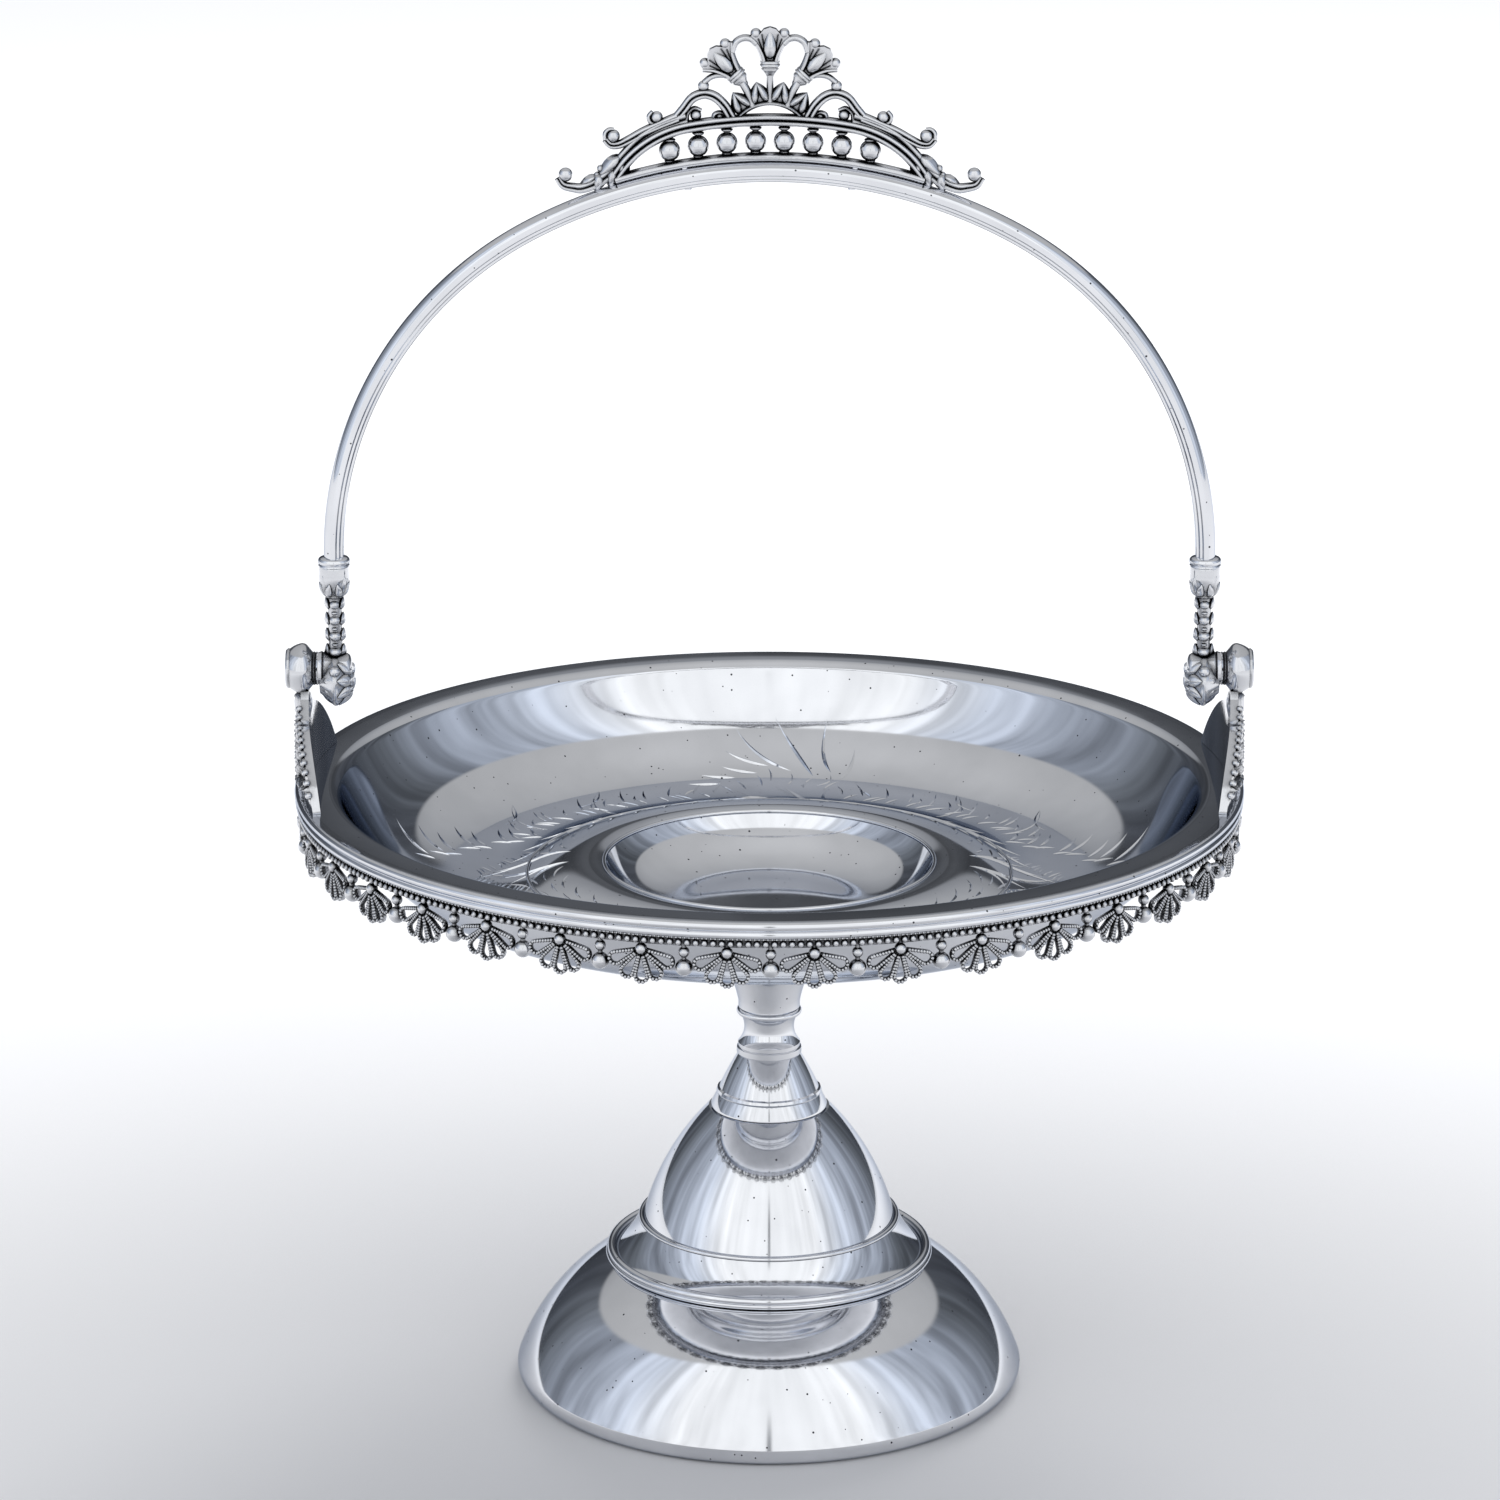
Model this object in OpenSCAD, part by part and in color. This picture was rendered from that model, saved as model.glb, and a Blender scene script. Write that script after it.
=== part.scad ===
// Silver cake basket: a shallow spun dish on a tall foot, with a pierced cast border and a swinging handle.
// Sizes are in millimetres. The table is z = 0, the foot's axis is z and the hinge line runs along x.

/* [Sheet and joints] */
// Thickness of the spun sheet
sheet = 1.2; // [0.9:0.1:1.5]
// Gap between pieces that are soldered or clamped together
joint_gap = 0.05; // [0.02:0.01:0.1]
// Room beside pieces that turn past each other
turn_gap = 0.4; // [0.3:0.05:0.6]
// Running room round a hinge pin, on the radius
pin_gap = 0.05; // [0.02:0.01:0.1]

/* [Foot] */
// Widest diameter of the foot
foot_d = 130.6; // [122:0.2:140]
// Radius of the lip that rolls in to the table
foot_lip_r = 4; // [3:0.1:5]
// Radius of the bell's curve above the lip
foot_bell_r = 53.2; // [50:0.2:58]
// Lean of the bell where it leaves the lip, in degrees
foot_lean = 20.8; // [19:0.1:23]
// Width of the flat ring that stands on the table
foot_rest_w = 1.5; // [1:0.1:2.5]
// Width of the flat seat inside the foot's shoulder
foot_seat_w = 5.5; // [3:0.1:8]

/* [Dome] */
// Diameter of the flange that sits on the foot
flange_d = 83.6; // [78:0.2:88]
// Overhang of the flange past the foot's shoulder
flange_overhang = 1.2; // [0.6:0.1:2]
// Height of the cove above the flange
cove_h = 9; // [8:0.1:11]
// Radius of the cove's hollow
cove_r = 21.3; // [17:0.1:26]
// Diameter of the dome at its base
dome_d = 65; // [62:0.2:68]
// Height of the dome
dome_h = 30; // [27:0.1:33]
// Radius of the dome's curve
dome_curve_r = 66; // [55:0.5:80]
// Diameter of the dome's flat top
dome_top_d = 31; // [30:0.2:34]
// Thickness of the ring round the base of the dome
dome_ring_d = 1.8; // [1.4:0.1:2.2]

/* [Stem] */
// Diameter of the cone at its foot
cone_d = 29.8; // [27:0.1:30]
// Diameter of the cone at its top
cone_top_d = 16; // [15:0.1:17]
// Height of the cone
cone_h = 14.3; // [12:0.1:17]
// Height of the cone's upright edge
cone_edge_h = 0.8; // [0.5:0.1:1.2]
// Height of the raised ring above the cone's foot
cone_ring_h = 4.6; // [3.5:0.1:6]
// Thickness of the raised ring
cone_ring_d = 1.4; // [1:0.1:1.8]
// Height of the neck
neck_h = 12.3; // [11:0.1:14]
// Diameter of the band at the foot of the neck
neck_band_d = 16.6; // [15.6:0.1:18]
// Height of that band
neck_band_h = 2; // [1.5:0.1:2.5]
// Diameter of the neck's waist
neck_waist_d = 13.2; // [12.4:0.1:14]
// Diameter of the ring at the top of the neck
neck_ring_d = 16.4; // [15.6:0.1:18]
// Thickness of that ring
neck_ring_t = 1.7; // [1.4:0.1:2]
// Height of the socket under the dish
socket_h = 27; // [24:0.1:31]
// Diameter of the socket at its foot
socket_d = 15.8; // [15:0.1:17]
// Height of the socket's upright collar
socket_collar_h = 1.9; // [1.5:0.1:2.5]
// Diameter of the socket where it meets the dish
socket_top_d = 46; // [42:0.2:50]
// Radius of the socket's flare
socket_flare_r = 40; // [34:0.5:60]
// Width of the flange that is soldered under the well
socket_flange_w = 2; // [1.5:0.1:3]

/* [Tie bolt] */
// Diameter of the bolt
bolt_d = 5; // [4:0.1:6]
// Room round the bolt where it passes through the stem
bolt_gap = 0.4; // [0.2:0.05:0.8]
// Diameter of the bolt's head
bolt_head_d = 16; // [12:0.2:20]
// Thickness of the bolt's head
bolt_head_t = 2; // [1.5:0.1:3]
// Length of bolt below the nut
bolt_end = 3; // [1:0.1:5]
// Diameter of the washer
washer_d = 18; // [15:0.2:22]
// Thickness of the washer
washer_t = 1.2; // [0.8:0.1:2]
// Width of the nut across its corners
nut_d = 11; // [9:0.1:13]
// Thickness of the nut
nut_t = 4.5; // [3.5:0.1:6]

/* [Dish] */
// Diameter of the bowl inside the flat rim
bowl_d = 218; // [206:0.5:232]
// Width of the flat rim, from the bowl to the edge of the sheet
rim_w = 8.2; // [6:0.1:11]
// Radius of the bowl's hollow side
bowl_side_r = 25; // [22:0.1:26]
// Depth of the floor below the rim
dish_depth = 26.8; // [26.2:0.1:32]
// Height of the floor above the bottom of the well
floor_rise = 6; // [4:0.1:8]
// Diameter where the floor turns up towards the well
floor_inner_d = 146; // [138:0.5:152]
// Diameter of the crest of the raised ring
hump_d = 94; // [90:0.5:100]
// Rise of that crest above the mouth of the well
hump_rise = 0.5; // [0.3:0.05:0.8]
// Diameter of the well at its mouth
well_d = 84; // [80:0.2:88]
// Depth of the well
well_depth = 11; // [10:0.1:13]
// Slope of the well's side, in degrees
well_slope = 55; // [48:0.5:62]
// Radius at the foot of the well's side
well_corner_r = 8; // [5:0.1:10]
// Thickness of the bead round the mouth of the well
well_bead_d = 1.2; // [0.9:0.1:1.6]

/* [Rim moulding] */
// Width of the moulding outside the sheet
moulding_w = 2.8; // [2.4:0.1:3.4]
// Thickness of the upper reed
upper_reed_d = 2.2; // [1.9:0.1:2.5]
// Thickness of the lower reed
lower_reed_d = 1.9; // [1.6:0.1:2.2]
// Width of the ledge under the sheet
ledge_w = 3.5; // [2.5:0.1:5]

/* [Border] */
// Number of shells round the border
shell_count = 36; // [30:6:42]
// Inset of the band's face from the edge of the moulding
band_inset = 1.4; // [1.2:0.1:2]
// Height of the band
band_h = 2.35; // [2:0.05:2.8]
// Thickness of the band
band_t = 2.4; // [1.8:0.1:3]
// Thickness of the bead wire along the band
bead_wire_d = 1.6; // [1.2:0.1:1.8]
// Thickness of the shells
shell_t = 1.5; // [1.1:0.1:2]
// Height of a shell from its hub to its lowest point
shell_drop = 8.8; // [8:0.1:10]
// Outer radius of a loop's round end
loop_r = 2; // [1.8:0.05:2.2]
// Width of the wire in a loop
loop_wire = 1.1; // [0.9:0.05:1.2]
// Angle between neighbouring inner loops, in degrees
loop_step = 31; // [28:0.5:33]
// Angle of the outer loops from straight down, in degrees
loop_spread = 66; // [62:0.5:70]
// Gap between the outer loops and the ball drops
loop_gap = 0.1; // [0.06:0.01:0.2]
// Diameter of a shell's hub
hub_d = 2.2; // [1.9:0.1:2.6]
// Diameter of a large ball
ball_d = 3.7; // [3.2:0.1:4]
// Diameter of a small ball
small_ball_d = 2.7; // [2.3:0.1:3]
// Thickness of the links between hubs, balls and band
link_d = 1.2; // [1:0.1:1.5]
// Length of link between the two balls of a drop
link_h = 0.6; // [0.4:0.05:1]
// Length of link between the band and what hangs from it
hang_h = 0.3; // [0.2:0.05:0.5]

/* [Ears and hinge] */
// Height of the hinge line above the rim
pivot_rise = 28.7; // [26:0.1:32]
// Diameter of the hinge pin
pin_d = 3; // [2.4:0.1:3.4]
// Diameter of the pin's head
pin_head_d = 5.2; // [4.6:0.1:6]
// Thickness of the pin's head
pin_head_t = 1; // [0.8:0.1:1.4]
// Inset of the ear's face from the edge of the moulding
ear_inset = 1.6; // [1.4:0.1:2.4]
// Thickness of the ear
ear_t = 2.4; // [2:0.1:3]
// Width of the ear along the rim
ear_w = 66; // [58:0.5:74]
// Width of the ear's shoulder
ear_shoulder_w = 24; // [20:0.5:28]
// Height of the shoulder above the rim
ear_shoulder_h = 17; // [15:0.1:19]
// Radius of the ear's wing
ear_wing_r = 36; // [32:0.5:48]
// Radius of the hollow between the shoulder and the neck
ear_hollow_r = 9; // [8:0.1:14]
// Width of the ear's neck
ear_neck_w = 8.4; // [7:0.1:9.5]
// Relief of the leaf's middle rib
leaf_relief = 1.4; // [1.2:0.1:1.6]
// Loss of relief from each lobe of the leaf to the next
leaf_relief_step = 0.3; // [0.2:0.05:0.4]
// Length of the leaf's rib
leaf_rib = 16; // [14:0.5:18]
// Length of the leaf's inner lobes
leaf_inner_lobe = 16; // [13:0.5:18]
// Length of the leaf's outer lobes
leaf_outer_lobe = 23; // [18:0.5:25]
// Width of the lobes
leaf_lobe_w = 5; // [4:0.1:6]
// Diameter of the ear's boss
boss_d = 12.8; // [11.6:0.1:14]
// Diameter of the ends of the boss and the knuckle
boss_end_d = 7; // [6.4:0.1:8]
// Width of the boss
boss_w = 7; // [6.4:0.1:8]
// Diameter of the boss's outer cap
cap_d = 6; // [5:0.1:6.4]
// Thickness of that cap
cap_t = 1.2; // [0.8:0.1:1.6]

/* [Handle] */
// Diameter of the knuckle
knuckle_d = 13.4; // [12:0.1:14.6]
// Width of the knuckle
knuckle_w = 8.2; // [7.4:0.1:9]
// Height of the bow's springing above the hinge line
spring_rise = 29.2; // [27:0.1:33]
// Distance of the centre of each haunch from the middle of the bow
haunch_shift = 15; // [12:0.1:18]
// Height of the bow's crown above the tops of its haunches
crown_rise = 3.7; // [3:0.1:4.4]
// Thickness of the bow
bow_t = 5; // [4.6:0.1:5.4]
// Width of the bow
bow_w = 6; // [5.6:0.1:6.4]
// Radius of the bow's rounded back
bow_back_r = 3.4; // [3.3:0.05:3.8]
// Height of each step on the inner side of the bow
bow_step_h = 0.9; // [0.7:0.05:1]
// Narrowing of each step
bow_step_w = 1.5; // [1.2:0.1:1.7]
// Diameter of the tenon at each end of the bow
tenon_d = 4.4; // [3.6:0.1:4.6]
// Length of the tenon, which goes through the collar into the cup
tenon_h = 7; // [6:0.1:8]
// Diameter of the collar
collar_d = 7.8; // [7.2:0.1:9]
// Height of the collar
collar_h = 2.5; // [2:0.1:3]
// Diameter of the cup at its mouth
cup_d = 7; // [6.6:0.1:8]
// Height of the cup
cup_h = 7.6; // [7:0.1:9]
// Diameter of the cup's foot
cup_foot_d = 5.2; // [4.6:0.1:5.8]
// Diameter of the largest bead on the stem of the drop
drop_bead_d = 5.4; // [5:0.1:5.8]
// Shrinkage from bead to bead
drop_bead_step = 0.5; // [0.3:0.05:0.6]
// Number of beads on the stem
drop_bead_count = 4; // [3:1:5]
// Thickness of the stem between the beads
drop_stem_d = 3.6; // [3:0.1:4]

/* [Crest] */
// Width of the rail that sits on the bow
rail_t = 2.2; // [1.9:0.1:2.6]
// Depth of the lower rail from front to back
rail_w = 4.4; // [4.2:0.1:5]
// Depth of the arched rail
arch_w = 4; // [3.7:0.1:4.1]
// Depth of the tulips' collars
collar_w = 3.5; // [3.3:0.1:3.6]
// Depth of the petals and leaves
petal_w = 3.2; // [3:0.1:3.2]
// Depth of the scrolls
scroll_w = 2.7; // [2.5:0.1:2.8]
// Depth of the stems
stem_w = 1.9; // [1.5:0.1:2]
// Width of the scrolls
scroll_t = 1.5; // [1.3:0.1:1.8]
// Half of the arched rail's span
arch_half = 38; // [36:0.1:40]
// Height of the arched rail above the crown
arch_rise = 10.3; // [9.8:0.1:11]
// Width of the arched rail
arch_t = 1.9; // [1.6:0.1:2.2]
// Radius of the arched rail's crown
arch_crown_r = 116; // [105:0.5:130]
// Radius of the arched rail's haunches
arch_haunch_r = 27; // [24:0.5:30]
// Diameter of the balls between the rails
crest_ball_d = 4.7; // [4.2:0.1:5]
// Distance between those balls
crest_ball_step = 7.05; // [6.6:0.05:7.3]
// Thickness of the pegs
peg_d = 1.8; // [1.4:0.1:2.2]
// Distance of each peg from the middle
peg_x = 21; // [20.4:0.1:21.6]
// Length of peg that shows under the bow
peg_end = 0.5; // [0.2:0.1:1]

/* [Hidden] */
$fn = 96;

// Heights, from the table up
lip_c = [foot_d / 2 - foot_lip_r, foot_lip_r];
lip_end = lip_c + foot_lip_r * [cos(foot_lean), sin(foot_lean)];
bell_c = lip_end - foot_bell_r * [cos(foot_lean), sin(foot_lean)];
shoulder_r = flange_d / 2 - flange_overhang;
foot_top = bell_c[1] + sqrt(pow(foot_bell_r, 2) - pow(shoulder_r - bell_c[0], 2));
flange_top = foot_top + joint_gap + sheet;
cove_top = flange_top + cove_h;
dome_top = cove_top + dome_h;
cone_foot = dome_top + joint_gap;
neck_foot = cone_foot + cone_h + joint_gap;
socket_foot = neck_foot + neck_h + joint_gap;
socket_top = socket_foot + socket_h;
well_bottom = socket_top + joint_gap + sheet;
well_top = well_bottom + well_depth;
floor_z = well_bottom + floor_rise;
rim_z = floor_z + dish_depth;
pivot_z = rim_z + pivot_rise;
spring_z = pivot_z + spring_rise;

// Tie bolt
bolt_hole_r = bolt_d / 2 + bolt_gap;
washer_top = dome_top - sheet - joint_gap;
nut_top = washer_top - washer_t - joint_gap;

// Rim and border
sheet_edge_r = bowl_d / 2 + rim_w;
rim_d = 2 * (sheet_edge_r + moulding_w);
moulding_h = upper_reed_d + lower_reed_d;
moulding_z = rim_z - moulding_h;
band_r = rim_d / 2 - band_inset;
band_z = moulding_z - joint_gap - band_h;
strip_count = 6;
strip_angle = 360 / strip_count;
pitch = 360 / shell_count;
shells_per_strip = shell_count / strip_count;
shell_r = band_r - shell_t / 2;
hub_z = band_z - hang_h - hub_d / 2;
small_ball_z = band_z - hang_h - small_ball_d / 2;
ball_z = small_ball_z - small_ball_d / 2 - link_h - ball_d / 2;
shell_half_w = shell_r * sin(pitch / 2) - ball_d / 2 - loop_gap;

// Hinge and handle
leg_x = rim_d / 2 - ear_inset - ear_t / 2 - boss_w / 2 - turn_gap - knuckle_w / 2;
knuckle_out = leg_x + knuckle_w / 2;
boss_in = knuckle_out + turn_gap;
boss_out = boss_in + boss_w;
tenon_hole_r = tenon_d / 2 + joint_gap;
tenon_z = spring_z - tenon_h;
collar_z = spring_z - joint_gap - collar_h;
cup_top = collar_z - joint_gap;
cup_foot = cup_top - cup_h;
haunch_r = leg_x - haunch_shift;
crown_drop = (pow(haunch_shift, 2) - pow(crown_rise, 2)) / (2 * crown_rise);
crown_r = haunch_r + crown_rise + crown_drop;
crown_half_angle = atan2(haunch_shift, crown_drop);
crown_z = spring_z + haunch_r + crown_rise + bow_t / 2;

// Lobes of the ear's leaf, in degrees from upright
inner_lobe_angle = 45;
outer_lobe_angle = 75;

// Rails of the crest: places on the crest are measured from the crown of the bow
rail_in_r = crown_r + bow_t / 2 + joint_gap;
rail_mid_r = rail_in_r + rail_t / 2;
arch_end = 58;
arch_c = [0, arch_rise - arch_crown_r];
arch_turn = asin((arch_half - arch_haunch_r * sin(arch_end)) / (arch_crown_r - arch_haunch_r));
arch_haunch_c = arch_c + (arch_crown_r - arch_haunch_r) * [sin(arch_turn), cos(arch_turn)];
peg_angle = asin(peg_x / rail_in_r);
peg_hold = rail_t - 0.4;

// Half-moon ring in the middle of the crest, with its leaves
ring_r = 5.2;
ring_c = [0, arch_rise + 0.6];
ring_dip = 10;
ring_leaf_h = 4.4;
ring_leaf_r = 1.5;
ring_leaf_angles = [-60, -22, 22, 60];

// Tulips, each measured from its collar
tulip_waist_r = 0.8;
tulip_belly_h = 5;
tulip_h = 9.2;
tulip_side_r = 7;
tulip_bead = [3.2, 7.2];
tulip_bead_d = 2.4;
middle_tulip = [0, 24];
side_tulip = [7.8, 20.8];
side_tulip_lean = 45;
side_stem_angle = 42;

// Hoop over a bead
hoop_x = 17.6;
hoop_r = 5.4;
hoop_c = [hoop_x, arch_h(hoop_x) + 2.4];
hoop_dip = 32;
hoop_bead_d = 2.8;
hoop_top_bead = hoop_c + [-1.3, hoop_r + hoop_bead_d / 2];

// Upper scroll: it springs from the stem of a bud and curls under a bead
bud_x = 27.8;
bud = [bud_x, arch_h(bud_x) + 5];
bud_d = 3;
upper_scroll_r = 30;
curl_bead = [38.5, 6.3];
curl_bead_d = 3.4;
curl_low = curl_bead - [0.8, 2.55];
curl_end = curl_bead + [2.55, 0.6];

// Tail of the crest, which curls under its own bead
tail_root = [arch_half, rail_h(arch_half) - rail_t / 2];
tail_r = 20;
tail_bead = [50.2, -3.4];
tail_bead_d = 3.6;
tail_low = tail_bead - [2.6, tail_bead_d];
tail_end = tail_bead + [1.2, 1.2];
tail_curl_r = 4.3;
tail_leaf_h = 4.6;
tail_leaf_r = 1;
tail_leaf_angles = [85, 55, 25, -5];

// Geometry of outlines
function left_of(v) = [-v[1], v[0]] / norm(v);
function reversed(p) = [for (i = [len(p) - 1 : -1 : 0]) p[i]];
function turn(a) = a < 0 ? a + 360 : a;
function leaned(p, a) = [p[0] * cos(a) + p[1] * sin(a), p[1] * cos(a) - p[0] * sin(a)];

// Points after p along an arc to q: a positive radius bends to the left, a negative one to the right
function arc_to(p, q, r, n = 10) =
    let (half = norm(q - p) / 2)
    let (c = (p + q) / 2 + left_of(q - p) * sqrt(r * r - half * half) * sign(r))
    let (start = atan2(p[1] - c[1], p[0] - c[0]))
    let (end = atan2(q[1] - c[1], q[0] - c[0]))
    let (sweep = r > 0 ? turn(end - start) : -turn(start - end))
    [for (i = [1 : n]) c + abs(r) * [cos(start + sweep * i / n), sin(start + sweep * i / n)]];

// Radius of an arc that is level at one end and moves by w and h to the other
function level_arc_r(w, h) = (w * w + h * h) / (2 * h);

// The line a sheet's thickness to the left of a path
function inset(p, t) = [
    for (i = [0 : len(p) - 1])
        let (before = left_of(i == 0 ? p[1] - p[0] : p[i] - p[i - 1]))
        let (after = i == len(p) - 1 ? before : left_of(p[i + 1] - p[i]))
        let (mid = (before + after) / norm(before + after))
        p[i] + mid * t / (mid * before)
];

// A spun sheet: a path turned round the axis, with its thickness to the left
module spun(path, t) {
    rotate_extrude() polygon(concat(path, reversed(inset(path, t))));
}

// A drop: a small round at the origin, widening along x to a larger round
module drop_shape(length, end_r, tip_r) {
    s = (end_r - tip_r) / length;
    c = sqrt(1 - s * s);
    circle(tip_r);
    translate([length, 0]) circle(end_r);
    polygon([
        tip_r * [-s, c], [length, 0] + end_r * [-s, c], [length, 0] + end_r * [-s, -c], tip_r * [-s, -c]
    ]);
}

// A leaf pointed at both ends, along x
module leaf_shape(length, w) {
    tip = [length, 0];
    side_r = level_arc_r(length / 2, w / 2);
    polygon(concat(arc_to([0, 0], tip, side_r, 8), arc_to(tip, [0, 0], side_r, 8)));
}

// A bent bar of width w, from angle a to angle b
module arc_bar(r, w, a, b) {
    fan = [for (i = [0 : 6]) let (at = a + (b - a) * i / 6) 2 * (r + w) * [cos(at), sin(at)]];
    intersection() {
        difference() {
            circle(r + w / 2);
            circle(r - w / 2);
        }
        polygon(concat([[0, 0]], fan));
    }
}

// A straight bar of width w with square ends
module bar(p, q, w) {
    side = left_of(q - p) * w / 2;
    polygon([p + side, p - side, q - side, q + side]);
}

// Lays a turned shape along the hinge line
module along_hinge(x) {
    translate([x, 0, pivot_z]) rotate([0, 90, 0]) children();
}

// Stands a shape up in the plane of the handle, with its origin on the crown
module stand_up() {
    translate([0, 0, crown_z]) rotate([90, 0, 0]) children();
}

module in_handle_plane(depth) {
    stand_up() linear_extrude(depth, center = true) children();
}

module on_other_side() {
    mirror([1, 0, 0]) children();
}

module both_sides() {
    children();
    mirror([1, 0, 0]) children();
}

// Stand

module foot_bell() {
    lip_start = [lip_c[0], 0];
    shoulder = [shoulder_r, foot_top];
    path = concat(
        [[lip_c[0] - foot_rest_w, 0], lip_start],
        arc_to(lip_start, lip_end, foot_lip_r),
        arc_to(lip_end, shoulder, foot_bell_r, 16),
        [[shoulder_r - foot_seat_w, foot_top]]
    );
    color("silver") spun(path, sheet);
}

module dome() {
    flange_edge = [flange_d / 2, flange_top];
    cove_start = [shoulder_r, flange_top];
    cove_end = [dome_d / 2 + dome_ring_d / 2, cove_top];
    dome_start = [dome_d / 2, cove_top];
    dome_end = [dome_top_d / 2, dome_top];
    path = concat(
        [flange_edge, cove_start],
        arc_to(cove_start, cove_end, -cove_r),
        [dome_start],
        arc_to(dome_start, dome_end, dome_curve_r, 16),
        [[bolt_hole_r, dome_top]]
    );
    color("silver") {
        spun(path, sheet);
        rotate_extrude() translate([dome_d / 2 + dome_ring_d / 4, cove_top]) circle(d = dome_ring_d);
    }
}

module stem_cone() {
    edge_z = cone_foot + cone_edge_h;
    ring_r = cone_d / 2 - (cone_d - cone_top_d) / 2 * (cone_ring_h - cone_edge_h) / (cone_h - cone_edge_h);
    color("gainsboro") rotate_extrude() {
        polygon([
            [bolt_hole_r, cone_foot], [cone_d / 2, cone_foot], [cone_d / 2, edge_z],
            [cone_top_d / 2, cone_foot + cone_h], [bolt_hole_r, cone_foot + cone_h]
        ]);
        translate([ring_r, cone_foot + cone_ring_h]) circle(d = cone_ring_d);
    }
}

module stem_neck() {
    neck_top = neck_foot + neck_h;
    ring_z = neck_top - neck_ring_t / 2;
    ring_r = (neck_ring_d - neck_ring_t) / 2;
    waist_start = [ring_r, neck_foot + neck_band_h];
    waist_end = [ring_r, neck_top - neck_ring_t];
    waist_r = level_arc_r((waist_end[1] - waist_start[1]) / 2, ring_r - neck_waist_d / 2);
    color("gainsboro") rotate_extrude() {
        polygon(concat(
            [[bolt_hole_r, neck_foot], [neck_band_d / 2, neck_foot]],
            [[neck_band_d / 2, waist_start[1]], waist_start],
            arc_to(waist_start, waist_end, -waist_r, 12),
            [[ring_r, neck_top], [bolt_hole_r, neck_top]]
        ));
        translate([ring_r, ring_z]) circle(d = neck_ring_t);
    }
}

module stem_socket() {
    flare_start = [socket_d / 2, socket_foot + socket_collar_h];
    flare_end = [socket_top_d / 2, socket_top - sheet];
    path = concat(
        [[bolt_hole_r, socket_foot], [socket_d / 2, socket_foot], flare_start],
        arc_to(flare_start, flare_end, -socket_flare_r, 14),
        [flare_end + [socket_flange_w, 0]]
    );
    color("silver") spun(path, sheet);
}

module tie_bolt() {
    bolt_foot = nut_top - nut_t - bolt_end;
    color("darkgray") {
        translate([0, 0, bolt_foot]) cylinder(h = socket_top - bolt_foot, d = bolt_d);
        translate([0, 0, socket_top - bolt_head_t]) cylinder(h = bolt_head_t, d = bolt_head_d);
    }
}

module tie_washer() {
    color("darkgray") translate([0, 0, washer_top - washer_t]) difference() {
        cylinder(h = washer_t, d = washer_d);
        translate([0, 0, -1]) cylinder(h = washer_t + 2, r = bolt_hole_r);
    }
}

module tie_nut() {
    color("darkgray") translate([0, 0, nut_top - nut_t]) difference() {
        cylinder(h = nut_t, d = nut_d, $fn = 6);
        translate([0, 0, -1]) cylinder(h = nut_t + 2, d = bolt_d + 2 * joint_gap);
    }
}

module dish() {
    mouth = [well_d / 2, well_top];
    corner_w = well_corner_r * sin(well_slope);
    corner_h = well_corner_r * (1 - cos(well_slope));
    corner_end = mouth - [(well_depth - corner_h) / tan(well_slope), well_depth - corner_h];
    corner_start = corner_end - [corner_w, corner_h];
    hump = [hump_d / 2, well_top + hump_rise];
    floor_start = [floor_inner_d / 2, floor_z];
    half_way = (hump + floor_start) / 2;
    ogee_r = level_arc_r(half_way[0] - hump[0], hump[1] - half_way[1]);
    side_start = [bowl_d / 2 - bowl_side_r, floor_z];
    side_end = [bowl_d / 2, floor_z + bowl_side_r];
    path = concat(
        [[0, well_bottom], corner_start],
        arc_to(corner_start, corner_end, well_corner_r),
        [mouth],
        arc_to(mouth, hump, -level_arc_r(hump[0] - mouth[0], hump_rise), 5),
        arc_to(hump, half_way, -ogee_r),
        arc_to(half_way, floor_start, ogee_r),
        [side_start],
        arc_to(side_start, side_end, bowl_side_r, 18),
        [[bowl_d / 2, rim_z], [sheet_edge_r, rim_z]]
    );
    color("silver") {
        spun(path, -sheet);
        rotate_extrude() translate(mouth) circle(d = well_bead_d);
    }
}

module rim_moulding() {
    body_in = sheet_edge_r + joint_gap;
    reed_c = (rim_d - upper_reed_d) / 2;
    color("silver") rotate_extrude() {
        translate([body_in, moulding_z]) square([reed_c - body_in, moulding_h]);
        translate([sheet_edge_r - ledge_w, moulding_z])
            square([ledge_w + joint_gap, moulding_h - sheet - joint_gap]);
        translate([reed_c, rim_z - upper_reed_d / 2]) circle(d = upper_reed_d);
        translate([reed_c, moulding_z + lower_reed_d / 2]) circle(d = lower_reed_d);
    }
}

// Border

// A shell of five open loops that hang from its hub
module shell_outline() {
    inner = shell_drop - loop_r;
    outer = (shell_half_w - loop_r) / sin(loop_spread);
    hole_start = 2 * loop_wire;
    loops = [[-loop_spread, outer], [-loop_step, inner], [0, inner], [loop_step, inner], [loop_spread, outer]];
    difference() {
        for (loop = loops)
            rotate(loop[0] - 90) drop_shape(loop[1], loop_r, loop_wire / 2);
        for (loop = loops)
            rotate(loop[0] - 90) translate([hole_start, 0])
                drop_shape(loop[1] - hole_start, loop_r - loop_wire, loop_wire / 4);
    }
}

module shell() {
    translate([shell_r, 0, hub_z]) {
        rotate([90, 0, 90]) linear_extrude(shell_t, center = true) shell_outline();
        sphere(d = hub_d);
        cylinder(h = band_z - hub_z + link_d / 2, d = link_d);
    }
}

module ball_drop() {
    translate([shell_r, 0, ball_z]) {
        sphere(d = ball_d);
        cylinder(h = band_z - ball_z + link_d / 2, d = link_d);
        translate([0, 0, small_ball_z - ball_z]) sphere(d = small_ball_d);
    }
}

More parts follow.
